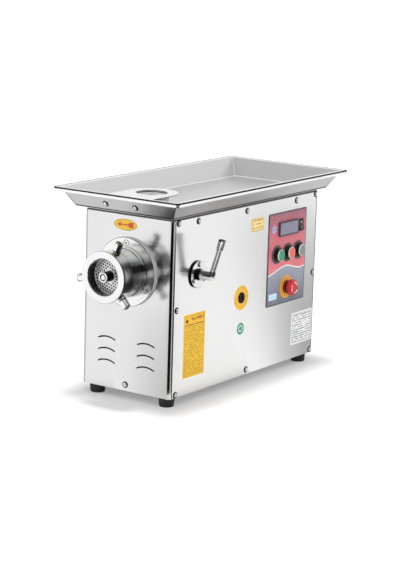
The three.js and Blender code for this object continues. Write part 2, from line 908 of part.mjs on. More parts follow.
const caseCavity = plateBack(
  caseOutline(caseInner, caseBottom + caseSide),
  caseFront + caseWall,
  coverFront + 1,
  8,
);
addPiece(
  'gearbox_case',
  cut(
    plateBack(caseOutline(caseOuter, caseBottom), caseFront, coverFront, 8),
    caseCavity,
    holeBack(bearingRadius + clearance, caseFront - 1, caseFront + caseWall + 1, 0, driveHeight, largeSteps),
    holeBack(
      layshaftRadius + clearance,
      caseFront + caseWall - pocketDepth,
      caseFront + caseWall + 1,
      0,
      layshaftHeight,
    ),
  ),
  finishes.castAlloy,
);
addPiece(
  'gearbox_cover',
  cut(
    plateBack(caseOutline(caseOuter, caseBottom), coverFront + clearance, coverRear, 8),
    holeBack(motorShaftRadius + clearance, coverFront, coverRear + 1, 0, driveHeight),
    holeBack(layshaftRadius + clearance, coverFront, coverFront + clearance + pocketDepth, 0, layshaftHeight),
  ),
  finishes.castAlloy,
);
const bearing = closedTurned([
  [bearingRadius, caseFront],
  [bearingRadius, caseFront + caseWall],
  [socketRadius + clearance, caseFront + caseWall],
  [socketRadius + clearance, caseFront],
], largeSteps);
addPiece('output_bearing', alongY(bearing, 0, driveHeight), finishes.darkSteel);

const socketRear = outputFront - clearance;
const driveShaft = cut(
  turned([
    [0, socketFront],
    [socketRadius, socketFront],
    [socketRadius, socketRear],
    [shaftRadius, socketRear],
    [shaftRadius, outputRear + gearSpacing / 3],
    [0, outputRear + gearSpacing / 3],
  ], largeSteps),
  squareBack(tangSquare, socketFront - 1, socketFront + tangLength),
);
addPiece('drive_shaft', driveShaft.translate(0, 0, driveHeight), finishes.darkSteel);

const wheelBelow = -90;
const toothGap = 180 / pinionTeeth;
const outputWheel = gearOutline(wheelTeeth, wheelBelow, shaftRadius + clearance);
addPiece(
  'output_gear',
  plateBack(outputWheel, outputFront, outputRear, 8).translate(0, 0, driveHeight),
  finishes.darkSteel,
);
const layshaftFront = caseFront + caseWall - pocketDepth + clearance;
const layshaftRear = coverFront + pocketDepth;
const layshaft = join(
  rodBack(layshaftRadius, layshaftFront, layshaftRear, 0, 0),
  plateBack(gearOutline(pinionTeeth, 90 + toothGap, 0), outputFront, outputRear),
);
addPiece('layshaft', layshaft.translate(0, 0, layshaftHeight), finishes.darkSteel);
addPiece(
  'layshaft_gear',
  plateBack(gearOutline(wheelTeeth, 90, layshaftRadius + clearance), inputFront, inputRear, 8)
    .translate(0, 0, layshaftHeight),
  finishes.darkSteel,
);

const pedestalTop = caseBottom;
const pedestalHalf = pedestalWidth / 2;
const pedestalOutline = outlineOf([
  [-pedestalHalf, baseThickness],
  [-pedestalHalf + pedestalWall, baseThickness],
  [-pedestalHalf + pedestalWall, pedestalTop - pedestalWall],
  [pedestalHalf - pedestalWall, pedestalTop - pedestalWall],
  [pedestalHalf - pedestalWall, baseThickness],
  [pedestalHalf, baseThickness],
  [pedestalHalf, pedestalTop],
  [-pedestalHalf, pedestalTop],
]);
addPiece('gearbox_pedestal', plateBack(pedestalOutline, caseFront, coverFront), finishes.blackPaint);

// ---------- Motor ----------

const motorFront = coverRear + clearance;
const motorRear = motorFront + motorLength;
const motorBore = motorShaftRadius + clearance;
const motorInner = motorRadius - motorWall;
const motorHousing = closedTurned([
  [motorRadius, motorFront],
  [motorRadius, motorRear],
  [motorBore, motorRear],
  [motorBore, motorRear - caseWall],
  [motorInner, motorRear - caseWall],
  [motorInner, motorFront + caseWall],
  [motorBore, motorFront + caseWall],
  [motorBore, motorFront],
], largeSteps);
addPiece('motor_housing', alongY(motorHousing, 0, driveHeight), finishes.bluePaint);

const statorFront = (motorFront + motorRear - statorLength) / 2;
const statorRear = statorFront + statorLength;
const statorOuter = motorInner - clearance;
const statorInner = statorOuter - statorThickness;
const stator = closedTurned([
  [statorOuter, statorFront],
  [statorOuter, statorRear],
  [statorInner, statorRear],
  [statorInner, statorFront],
], largeSteps);
addPiece('motor_stator', alongY(stator, 0, driveHeight), finishes.darkSteel);

const fanFront = motorRear + 8;
const fanRear = fanFront + fanWidth;
const rotorFront = outputRear + gearSpacing / 2 + 1;
const rotorRadius = statorInner - airGap;
const rotorShaft = turned([
  [0, rotorFront],
  [motorShaftRadius, rotorFront],
  [motorShaftRadius, statorFront],
  [rotorRadius, statorFront],
  [rotorRadius, statorRear],
  [motorShaftRadius, statorRear],
  [motorShaftRadius, fanRear + 5],
  [0, fanRear + 5],
], largeSteps);
const motorPinion = plateBack(gearOutline(pinionTeeth, wheelBelow + toothGap, 0), inputFront, inputRear);
addPiece(
  'motor_rotor',
  join(rotorShaft, motorPinion).translate(0, 0, driveHeight),
  finishes.darkSteel,
);

// A wheel of flat blades around a hub, as an outline in the XZ plane.
function bladeWheelOutline(hub, tip, blades, thickness, bore) {
  const points = [];
  for (let i = 0; i < blades; i++) {
    const middle = i * 2 * Math.PI / blades;
    for (const [radius, side] of [[hub, -1], [tip, -1], [tip, 1], [hub, 1]]) {
      const angle = middle + side * thickness / 2 / radius;
      points.push([radius * Math.cos(angle), radius * Math.sin(angle)]);
    }
  }
  const shape = outlineOf(points);
  shape.holes.push(boreOutline(bore));
  return shape;
}
const motorFan = bladeWheelOutline(20, motorInner - 6, 7, 4, motorShaftRadius + clearance);
addPiece(
  'motor_fan',
  plateBack(motorFan, fanFront, fanRear, 6).translate(0, 0, driveHeight),
  finishes.blackPlastic,
);

const cowlFront = motorRear + clearance;
const cowlRear = cowlFront + cowlLength;
const cowl = closedTurned([
  [motorRadius, cowlFront],
  [motorRadius, cowlRear],
  [cowlInlet, cowlRear],
  [cowlInlet, cowlRear - sheet],
  [motorRadius - sheet, cowlRear - sheet],
  [motorRadius - sheet, cowlFront],
], largeSteps);
addPiece('motor_cowl', alongY(cowl, 0, driveHeight), finishes.blackPaint);

// ---------- Cooling unit ----------

const compressorTop = driveHeight - motorRadius - 19;
const compressor = turned([
  [0, baseThickness],
  [compressorRadius - 12, baseThickness],
  [compressorRadius - 12, baseThickness + 14],
  [compressorRadius, baseThickness + 24],
  [compressorRadius, compressorTop - 34],
  [compressorRadius - 16, compressorTop - 8],
  [0, compressorTop],
], largeSteps);
addPiece('compressor', alongZ(compressor, compressorX, compressorY), finishes.blackPaint);

// Condenser: fins between the louvres and the fan, joined by a header along the rear.
const condenserHalf = condenserWidth / 2;
const condenserRear = condenserSetback + condenserDepth;
const finPitch = (condenserWidth - finThickness) / (condenserFins - 1);
const condenserPoints = [[-condenserHalf, condenserRear]];
for (let i = 0; i < condenserFins; i++) {
  const left = -condenserHalf + i * finPitch;
  const right = left + finThickness;
  const valley = condenserRear - finThickness;
  const ends = [[left, condenserSetback], [right, condenserSetback]];
  if (i > 0) {
    ends.unshift([left, valley]);
  }
  if (i < condenserFins - 1) {
    ends.push([right, valley]);
  }
  condenserPoints.push(...ends);
}
condenserPoints.push([condenserHalf, condenserRear]);
addPiece(
  'condenser',
  plateUp(outlineOf(condenserPoints), baseThickness, baseThickness + condenserHeight),
  finishes.castAlloy,
);

const coolingFanHeight = baseThickness + condenserHeight / 2;
const frameFront = condenserRear + clearance;
const frameRear = frameFront + fanPlate;
const fanOpening = holeBack(
  coolingFanRadius + 4,
  frameFront - 1,
  frameRear + 1,
  0,
  coolingFanHeight,
  largeSteps,
);
const spiderWidth = 10;
const fanFrame = join(
  cut(
    box(-condenserHalf, condenserHalf, frameFront, frameRear, baseThickness, baseThickness + condenserHeight),
    fanOpening,
  ),
  box(
    -spiderWidth / 2,
    spiderWidth / 2,
    frameFront,
    frameRear,
    baseThickness + 1,
    baseThickness + condenserHeight - 1,
  ),
  rodBack(fanMotorRadius, frameFront, frameFront + fanMotorLength, 0, coolingFanHeight),
  rodBack(
    fanPinRadius,
    frameFront,
    frameFront + fanMotorLength + coolingFanWidth + 2,
    0,
    coolingFanHeight,
  ),
);
addPiece('condenser_fan_frame', fanFrame, finishes.blackPaint);

const coolingFanFront = frameFront + fanMotorLength + clearance;
const coolingBlades = plate(
  bladeWheelOutline(18, coolingFanRadius, 5, 16, fanPinRadius + 2 * clearance),
  coolingFanWidth,
  6,
).applyMatrix4(zToRear).translate(0, coolingFanFront + coolingFanWidth, 0);
twistAlongY(coolingBlades, coolingFanFront, 1.6);
addPiece(
  'condenser_fan',
  coolingBlades.translate(0, 0, coolingFanHeight),
  finishes.blackPlastic,
);

// Copper pipes of the cooling circuit, as smooth runs through a few bends.
function pipe(points) {
  const route = new THREE.CatmullRomCurve3(
    points.map(([x, y, z]) => new THREE.Vector3(x, y, z)),
    false,
    'catmullrom',
    0.25,
  );
  return new THREE.ExtrudeGeometry(circleOutline(pipeRadius), {
    extrudePath: route,
    steps: 20,
    curveSegments: 3,
    bevelEnabled: false,
  });
}
const pipeX = pipeFromSide - halfWidth;
const compressorLeft = compressorX - compressorRadius - clearance;
const besideCompressor = (pipeX + compressorLeft) / 2;
const suctionY = (feedDistance + jacketRear) / 2;
const suctionTop = driveHeight - jacketRadius - clearance;
const suctionShelf = suctionTop - pipeBend - pipeShelf;
const suctionEnd = compressorTop - suctionDrop;
addPiece(
  'suction_pipe',
  pipe([
    [0, suctionY, suctionTop],
    [0, suctionY, suctionTop - pipeBend],
    [-pipeFromSide, suctionY + pipeRadius, suctionShelf],
    [pipeX + pipeBend, suctionY + 2 * pipeBend, suctionShelf],
    [pipeX, suctionY + 4 * pipeBend, suctionShelf],
    [pipeX, compressorY - 3 * pipeBend, suctionShelf - pipeBend],
    [pipeX, compressorY - pipeBend, suctionEnd + pipeRadius],
    [besideCompressor, compressorY, suctionEnd],
    [compressorLeft, compressorY, suctionEnd],
  ]),
  finishes.copper,
);
const condenserMiddle = condenserSetback + condenserDepth / 2;
const dischargeX = pipeX - pipeRadius / 2;
addPiece(
  'discharge_pipe',
  pipe([
    [compressorLeft, compressorY, dischargeHeight],
    [besideCompressor, compressorY, dischargeHeight],
    [dischargeX, compressorY - pipeBend, dischargeHeight],
    [dischargeX, condenserRear + 4 * pipeBend, dischargeHeight],
    [dischargeX, condenserMiddle + pipeBend, dischargeHeight + pipeRadius],
    [dischargeX + pipeRadius, condenserMiddle, dischargeHeight + pipeRadius],
    [-condenserHalf - clearance, condenserMiddle, dischargeHeight + pipeRadius],
  ]),
  finishes.copper,
);

// ---------- Right side: head clamp ----------

const clampFlange = alongX(closedTurned([
  [clampFlangeRadius, halfWidth],
  [clampFlangeRadius, halfWidth + clampFlangeThickness],
  [clampBossRadius, halfWidth + clampFlangeThickness],
  [clampBossRadius, halfWidth + clampFlangeThickness + clampBossLength],
  [spindleRadius + clearance, halfWidth + clampFlangeThickness + clampBossLength],
  [spindleRadius + clearance, halfWidth],
], mediumSteps), clampY, clampHeight);
addPiece('clamp_flange', clampFlange, finishes.polishedSteel);

const armFoot = halfWidth + leverReach;
const barrelSide = Math.sqrt(barrelRadius ** 2 - (driveHeight - clampHeight) ** 2);
const screwTip = barrelSide + clearance;
const spindle = alongX(turned([
  [0, screwTip],
  [screwRadius, screwTip],
  [screwRadius, panelInner - 8],
  [spindleRadius, panelInner - 8],
  [spindleRadius, armFoot],
  [0, armFoot],
], smallSteps), clampY, clampHeight);
const elbow = new THREE.SphereGeometry(spindleRadius, smallSteps, 10).translate(armFoot, clampY, clampHeight);
const leaned = (geometry) => geometry
  .rotateY(leverLean * degrees)
  .rotateX(-leverTurn * degrees)
  .translate(armFoot, clampY, clampHeight);
const socketDepth = 14;
const arm = leaned(rodUp(leverArmRadius, 0, leverArmLength + socketDepth, 0, 0, 12));
addPiece('clamp_lever', join(spindle, elbow, arm), finishes.polishedSteel);
const clampKnob = alongZ(turned([
  [0, leverArmLength + socketDepth + clearance],
  [leverArmRadius + clearance, leverArmLength + socketDepth + clearance],
  [leverArmRadius + clearance, leverArmLength],
  [knobRadius, leverArmLength],
  [knobRadius, leverArmLength + knobLength - knobChamfer],
  [knobRadius - knobChamfer, leverArmLength + knobLength],
  [0, leverArmLength + knobLength],
], smallSteps), 0, 0);
addPiece('clamp_knob', leaned(clampKnob), finishes.polishedSteel);

// ---------- Right side: controls ----------

const controlRear = cabinetLength - controlFromRear;
const controlFront = controlRear - controlWidth;
const controlTop = cabinetHeight - controlFromTop;
const controlBottom = controlTop - controlHeight;
const controlFace = halfWidth + controlThickness;
const behindPanel = halfWidth - controlBehind;
const controlMiddle = (controlFront + controlRear) / 2 + 1.5;
const buttonHeight = controlTop - buttonDrop;
const stopHeight = controlTop - stopDrop;
const displayZ = controlTop - displayDrop;
const switchY = controlRear - switchFromRear;
const displayY = switchY - displayToSwitch;
const displayBackWidth = displayWidth - 8;
const displayBackHeight = displayHeight - 8;
const wellHalfWidth = rockerHalfWidth + rockerRoom;
const wellHalfHeight = rockerHalfHeight + rockerRoom;
const switchWall = 1.2;

const buttons = [
  ['start', controlMiddle - buttonSpacing, finishes.greenPlastic],
  ['stop', controlMiddle, finishes.redPlastic],
  ['reverse', controlMiddle + buttonSpacing, finishes.paleGreyPlastic],
];

function centredBox(x0, x1, y, halfAcross, z, halfUp) {
  return box(x0, x1, y - halfAcross, y + halfAcross, z - halfUp, z + halfUp);
}

// Cut-outs shared by the side panel and the control plate in front of it.
function controlCuts() {
  const x0 = panelInner - 1;
  const x1 = controlFace + 1;
  return [
    ...buttons.map(([, y]) => holeAcross(controlHole + clearance, x0, x1, y, buttonHeight)),
    holeAcross(controlHole + clearance, x0, x1, controlMiddle, stopHeight),
    centredBox(
      x0,
      x1,
      displayY,
      displayBackWidth / 2 + clearance,
      displayZ,
      displayBackHeight / 2 + clearance,
    ),
    centredBox(
      x0,
      x1,
      switchY,
      wellHalfWidth + switchWall + clearance,
      displayZ,
      wellHalfHeight + switchWall + clearance,
    ),
  ];
}

addPiece(
  'right_panel',
  cut(
    box(panelInner, halfWidth, sideFront, sideRear, 0, cabinetHeight),
    holeAcross(spindleRadius + 2 * clearance, panelInner - 1, halfWidth + 1, clampY, clampHeight),
    ...controlCuts(),
  ),
  finishes.brushedSteel,
);
addPiece(
  'control_plate',
  cut(
    plateAcross(
      roundedOutline(controlFront, controlBottom, controlRear, controlTop, controlRadius),
      halfWidth,
      controlFace,
      3,
    ),
    ...controlCuts(),
  ),
  finishes.redPanel,
);
addPiece(
  'display_housing',
  join(
    centredBox(controlFace, controlFace + displayProud, displayY, displayWidth / 2, displayZ, displayHeight / 2),
    centredBox(
      behindPanel,
      controlFace + 1,
      displayY,
      displayBackWidth / 2,
      displayZ,
      displayBackHeight / 2,
    ),
  ),
  finishes.greyPlastic,
);

// Rocker switch: a frame with a deep well, and a rocker tilted with its lower end out.
const wellBottom = halfWidth - rockerHalfHeight * 0.85;
addPiece(
  'switch_frame',
  cut(
    join(
      centredBox(
        controlFace,
        controlFace + switchProud,
        switchY,
        switchWidth / 2,
        displayZ,
        switchHeight / 2,
      ),
      centredBox(
        behindPanel,
        controlFace + 1,
        switchY,
        wellHalfWidth + switchWall,
        displayZ,
        wellHalfHeight + switchWall,
      ),
    ),
    centredBox(
      wellBottom,
      controlFace + switchProud + 1,
      switchY,
      wellHalfWidth,
      displayZ,
      wellHalfHeight,
    ),
  ),
  finishes.blackPlastic,
);
const rockerEnd = rockerHalfHeight - 1;
const rockerPeak = rockerCrown + rockerEnd * Math.tan(rockerTilt * degrees);
const rockerFoot = rockerHalfHeight * 0.6;
const rockerDepth = 4;
const rockerOutline = outlineOf([
  [-rockerFoot, -rockerDepth],
  [rockerFoot, -rockerDepth],
  [rockerHalfHeight, 0],
  [rockerEnd, rockerPeak],
  [0, rockerCrown],
  [-rockerEnd, rockerPeak],
  [-rockerHalfHeight, 0],
]);
const rocker = plate(rockerOutline, 2 * rockerHalfWidth)
  .applyMatrix4(yToX)
  .translate(0, -rockerHalfWidth, 0)
  .rotateY(-rockerTilt * degrees)
  .translate(halfWidth, switchY, displayZ);
addPiece('switch_rocker', rocker, finishes.blackPlastic);

// Push buttons: a grey base ring, a black collar and a bezel around a cap that slides in.
const capBore = buttonCapRadius + clearance;
const boreBottom = controlFace + 1.5;
for (const [name, y, capFinish] of buttons) {
  const collar = turned([
    [0, behindPanel],
    [controlHole, behindPanel],
    [controlHole, controlFace],
    [buttonBaseRadius, controlFace],
    [buttonBaseRadius, controlFace + 2.5],
    [buttonCollarRadius, controlFace + 2.5],
    [buttonCollarRadius, controlFace + 9],
    [buttonBezelRadius, controlFace + 9],
    [buttonBezelRadius, controlFace + buttonProud],
    [capBore, controlFace + buttonProud],
    [capBore, boreBottom],
    [0, boreBottom],
  ], mediumSteps);
  addPiece(`${name}_collar`, alongX(collar, y, buttonHeight), finishes.blackPlastic);
  const capInner = boreBottom + buttonTravel + clearance;
  const capOuter = controlFace + buttonProud;
  const cap = turned([
    [0, capInner],
    [buttonCapRadius, capInner],
    [buttonCapRadius, capOuter],
    [buttonCapRadius - 1, capOuter + 1],
    [0, capOuter + 1],
  ], mediumSteps);
  addPiece(`${name}_button`, alongX(cap, y, buttonHeight), capFinish);
}

// Emergency stop: the stem slides in, and the head turns on the stem to let go.
const stopTip = controlFace + stopProud;
const stopHeadBack = stopTip - stopHeadLength;
const stopCollarTip = stopHeadBack - buttonTravel - 1;
const stemBore = stopStemRadius + clearance;
const stemPocket = 8;
const stopCollar = turned([
  [0, behindPanel],
  [controlHole, behindPanel],
  [controlHole, controlFace],
  [stopRingRadius, controlFace],
  [stopRingRadius, controlFace + 1],
  [stopCollarRadius, controlFace + 1],
  [stopCollarRadius, stopCollarTip],
  [stemBore, stopCollarTip],
  [stemBore, controlFace - stemPocket],
  [0, controlFace - stemPocket],
], mediumSteps);
addPiece('emergency_collar', alongX(stopCollar, controlMiddle, stopHeight), finishes.blackPlastic);
const stemTip = stopHeadBack + stopHeadLength / 2;
addPiece(
  'emergency_stem',
  rodAcross(
    stopStemRadius,
    controlFace - stemPocket + buttonTravel + clearance,
    stemTip,
    controlMiddle,
    stopHeight,
  ),
  finishes.blackPlastic,
);
const stopHead = turned([
  [0, stemTip + clearance],
  [stemBore, stemTip + clearance],
  [stemBore, stopHeadBack],
  [stopHeadRadius - 4, stopHeadBack],
  [stopHeadRadius, stopHeadBack + 3],
  [stopHeadRadius, stopHeadBack + 8],
  [stopHeadRadius - 4, stopTip - 2],
  [stopHeadRadius - 12, stopTip],
  [0, stopTip],
], mediumSteps);
addPiece('emergency_head', alongX(stopHead, controlMiddle, stopHeight), finishes.redPlastic);

// ---------- Cable gland in the rear panel ----------

const glandSeat = cabinetLength + clearance;
const gland = alongY(closedTurned([
  [glandBore + 2.5, cabinetLength - 12],
  [glandBore + 2.5, glandSeat],
  [glandRadius, glandSeat],
  [glandRadius, glandSeat + 9],
  [glandRadius - 3, glandSeat + 14],
  [glandBore, glandSeat + 14],
  [glandBore, cabinetLength - 12],
], smallSteps), glandX, glandHeight);
addPiece('cable_gland', gland, finishes.blackPlastic);

// ---------- Origin: middle of the footprint, at floor level ----------

const trayOut = traySplay + trayFlange;
const rearReach = cabinetLength + trayOverhangRear + trayOut;
const sides = new THREE.Box3().setFromObject(machine);
machine.position.set(-(sides.min.x + sides.max.x) / 2, (headReach - rearReach) / 2, footHeight);

export default machine;
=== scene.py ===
import math

import bmesh
import bpy
from mathutils import Matrix, Vector


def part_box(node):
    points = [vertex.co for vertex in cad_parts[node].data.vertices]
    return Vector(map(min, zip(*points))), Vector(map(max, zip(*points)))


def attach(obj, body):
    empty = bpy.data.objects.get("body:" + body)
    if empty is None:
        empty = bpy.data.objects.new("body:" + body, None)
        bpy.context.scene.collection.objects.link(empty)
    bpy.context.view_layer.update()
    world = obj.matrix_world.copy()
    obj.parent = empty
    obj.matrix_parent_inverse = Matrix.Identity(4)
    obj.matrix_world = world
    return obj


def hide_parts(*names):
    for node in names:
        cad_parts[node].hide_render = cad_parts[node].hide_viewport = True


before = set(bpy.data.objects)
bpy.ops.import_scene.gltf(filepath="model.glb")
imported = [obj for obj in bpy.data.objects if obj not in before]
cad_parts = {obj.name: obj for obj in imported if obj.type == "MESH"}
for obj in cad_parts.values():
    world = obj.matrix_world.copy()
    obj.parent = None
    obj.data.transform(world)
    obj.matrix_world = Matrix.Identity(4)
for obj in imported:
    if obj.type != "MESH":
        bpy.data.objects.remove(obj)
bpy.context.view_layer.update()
print("frame loaded")

# Lengths are in millimetres from the cabinet's front face, on its middle line, at its underside.
mm = 0.001
panelLow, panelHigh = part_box("front_panel")
corner = Vector(((panelLow.x + panelHigh.x) / 2, panelLow.y, panelLow.z))
machineToWorld = Matrix.Translation(corner) @ Matrix.Scale(mm, 4)


def span(node):
    low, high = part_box(node)
    return (low - corner) / mm, (high - corner) / mm


def centre(node):
    low, high = span(node)
    return (low + high) / 2


cabinetHalf = span("front_panel")[1].x
cabinetHeight = span("front_panel")[1].z
cabinetLength = span("rear_panel")[1].y
driveHeight = centre("ring_nut").z
panelFace = span("right_panel")[1].x


# Frames: where a shape's own across, up and along go on the machine

def frameOf(across, up, along, at):
    return Matrix.Translation(at) @ Matrix((across, up, along)).transposed().to_4x4()


def alongX(y, z, x=0):
    return frameOf((0, 1, 0), (0, 0, 1), (1, 0, 0), (x, y, z))


def alongY(x, z, y=0):
    return frameOf((1, 0, 0), (0, 0, 1), (0, 1, 0), (x, y, z))


def alongZ(x, y, z=0):
    return frameOf((1, 0, 0), (0, 1, 0), (0, 0, 1), (x, y, z))


def alongLine(start, direction):
    along = Vector(direction).normalized()
    across = Vector((0, 1, 0)).cross(along)
    if across.length < 0.1:
        across = Vector((1, 0, 0)).cross(along)
    across.normalize()
    return frameOf(across, along.cross(across), along, start)


# Outlines: closed rows of points

def ellipse(halfAcross, halfUp, steps=64, middle=(0, 0)):
    turns = [2 * math.pi * i / steps for i in range(steps)]
    return [(middle[0] + halfAcross * math.cos(t), middle[1] + halfUp * math.sin(t)) for t in turns]


def circle(radius, steps=64, middle=(0, 0)):
    return ellipse(radius, radius, steps, middle)


def hexagon(acrossFlats, middle=(0, 0)):
    reach = acrossFlats / math.sqrt(3)
    turns = [math.pi * i / 3 for i in range(6)]
    return [(middle[0] + reach * math.cos(t), middle[1] + reach * math.sin(t)) for t in turns]


def arc(radius, start, end, steps=12, middle=(0, 0)):
    turns = [math.radians(start + (end - start) * i / steps) for i in range(steps + 1)]
    return [(middle[0] + radius * math.cos(t), middle[1] + radius * math.sin(t)) for t in turns]


def roundedBox(left, right, low, high, radius, steps=8):
    points = []
    for across, up, start in (
        (right - radius, high - radius, 0),
        (left + radius, high - radius, 90),
        (left + radius, low + radius, 180),
        (right - radius, low + radius, 270),
    ):
        points += arc(radius, start, start + 90, steps, (across, up))
    return points


def band(path, width):
    # An even strip along an open path
    sides = ([], [])
    for i, point in enumerate(path):
        before, after = Vector(path[max(i - 1, 0)]), Vector(path[min(i + 1, len(path) - 1)])
        way = (after - before).normalized()
        for side, sign in zip(sides, (1, -1)):
            side.append((point[0] - sign * way.y * width / 2, point[1] + sign * way.x * width / 2))
    return sides[0] + sides[1][::-1]


def softened(profile, radius, steps=4):
    # An open profile with its inner corners rounded
    points = [profile[0]]
    for before, here, after in zip(profile, profile[1:], profile[2:]):
        here, back, on = Vector(here), Vector(before) - Vector(here), Vector(after) - Vector(here)
        reach = min(radius, back.length * 0.45, on.length * 0.45)
        start, end = here + back.normalized() * reach, here + on.normalized() * reach
        for i in range(steps + 1):
            t = i / steps
            points.append(tuple((1 - t) ** 2 * start + 2 * t * (1 - t) * here + t * t * end))
    return points + [profile[-1]]


class Shape:
    def __init__(self):
        self.mesh = bmesh.new()

    def row(self, points, place):
        return [self.mesh.verts.new(place @ Vector(p).to_3d()) for p in points]

    def skin(self, rows, closed=False):
        for first, second in zip(rows, rows[1:] + rows[:1] if closed else rows[1:]):
            for i, point in enumerate(first):
                after = (i + 1) % len(first)
                self.mesh.faces.new((point, first[after], second[after], second[i]))

    def cap(self, row):
        self.mesh.faces.new(row)

    # profile: pairs of radius and place along the axis
    def turned(self, profile, place, steps=64, closed=False):
        rows = []
        for radius, along in profile:
            rows.append(self.row([(u, v, along) for u, v in circle(max(radius, 0), steps)], place))
        self.skin(rows, closed)
        return self

    # a prism whose outline may have holes
    def plate(self, outlines, place, start, end, edge=0.0, rounds=2):
        outline = bpy.data.curves.new("outline", "CURVE")
        outline.dimensions, outline.fill_mode = "2D", "BOTH"
        outline.extrude = (end - start) / 2 - edge
        outline.bevel_depth, outline.bevel_resolution, outline.offset = edge, rounds, -edge
        for points in outlines:
            line = outline.splines.new("POLY")
            line.points.add(len(points) - 1)
            for made, point in zip(line.points, points):
                made.co = (*point, 0, 1)
            line.use_cyclic_u = True
        holder = bpy.data.objects.new("outline", outline)
        skin = bpy.data.meshes.new_from_object(holder)
        skin.transform(place @ Matrix.Translation((0, 0, (start + end) / 2)))
        self.mesh.from_mesh(skin)
        bpy.data.objects.remove(holder)
        bpy.data.curves.remove(outline)
        bpy.data.meshes.remove(skin)
        return self

    def data(self, name):
        bmesh.ops.remove_doubles(self.mesh, verts=self.mesh.verts, dist=0.003)
        bmesh.ops.recalc_face_normals(self.mesh, faces=self.mesh.faces)
        made = bpy.data.meshes.new(name)
        self.mesh.to_mesh(made)
        self.mesh.free()
        return made

    # takes another shape away, or adds it
    def combined(self, other, operation="DIFFERENCE"):
        holders = []
        for name, shape in (("kept", self), ("tool", other)):
            holders.append(bpy.data.objects.new(name, shape.data(name)))
            bpy.context.scene.collection.objects.link(holders[-1])
        step = holders[0].modifiers.new("combined", "BOOLEAN")
        step.operation, step.solver, step.object = operation, "EXACT", holders[1]
        graph = bpy.context.evaluated_depsgraph_get()
        result = bpy.data.meshes.new_from_object(holders[0].evaluated_get(graph))
        self.mesh = bmesh.new()
        self.mesh.from_mesh(result)
        bpy.data.meshes.remove(result)
        for holder in holders:
            bpy.data.meshes.remove(holder.data)
        return self

    def piece(self, name, finish, body="root", nodes=(), slot=None, crease=30):
        made = self.data(name)
        made.transform(machineToWorld)
        made.shade_smooth()
        made.set_sharp_from_angle(angle=math.radians(crease))
        made.materials.append(finish)
        thing = bpy.data.objects.new(name, made)
        bpy.context.scene.collection.objects.link(thing)
        even = thing.modifiers.new("even shading", "WEIGHTED_NORMAL")
        even.keep_sharp = True
        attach(thing, body)
        if nodes:
            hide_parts(*nodes)
        return thing


# Finishes

class Link:
    def __init__(self, finish, socket):
        self.finish, self.socket = finish, socket

    def math(self, operation, *others):
        values = {i: value for i, value in enumerate((self, *others))}
        return self.finish.node("Math", {"operation": operation}, values)

    def __add__(self, other):
        return self.math("ADD", other)

    def __radd__(self, other):
        return self.math("ADD", other)

    def __sub__(self, other):
        return self.math("SUBTRACT", other)

    def __rsub__(self, other):
        return (self * -1) + other

    def __mul__(self, other):
        return self.math("MULTIPLY", other)

    def __rmul__(self, other):
        return self.math("MULTIPLY", other)

    def __truediv__(self, other):
        return self.math("DIVIDE", other)

    def __pow__(self, other):
        return self.math("POWER", other)

    def __gt__(self, other):
        return self.math("GREATER_THAN", other)

    def __lt__(self, other):
        return self.math("LESS_THAN", other)

    # 0 below low, 1 above high
    def rise(self, low, high):
        values = {"Value": self, "From Min": low, "From Max": high}
        return self.finish.node("MapRange", {"interpolation_type": "SMOOTHSTEP"}, values)

    def between(self, low, high):
        return (self > low) * (self < high)


def tone(red, green, blue):
    # A colour as it shows, from 0 to 255, to the shader's linear one
    return tuple(((c / 255 + 0.055) / 1.055) ** 2.4 if c > 10 else c / 3295 for c in (red, green, blue)) + (
        1,
    )


def grey(level):
    return tone(level, level, level)


class Tree:
    def __init__(self, tree):
        self.tree = tree
        tree.nodes.clear()

    def node(self, kind, settings=None, sockets=None, output=0):
        made = self.tree.nodes.new("ShaderNode" + kind)
        for name, value in (settings or {}).items():
            if name == "stops":
                ramp = made.color_ramp.elements
                while len(ramp) < len(value):
                    ramp.new(1)
                for stop, (position, colour) in zip(ramp, value):
                    stop.position, stop.color = position, colour
            else:
                setattr(made, name, value)
        for name, value in (sockets or {}).items():
            self.put(made.inputs[name], value)
        return Link(self, made.outputs[output]) if made.outputs else None

    def put(self, socket, value):
        if isinstance(value, Link):
            self.tree.links.new(value.socket, socket)
        else:
            socket.default_value = value

    def blend(self, factor, first, second):
        return self.node("Mix", {"data_type": "RGBA"}, {0: factor, 6: first, 7: second}, 2)


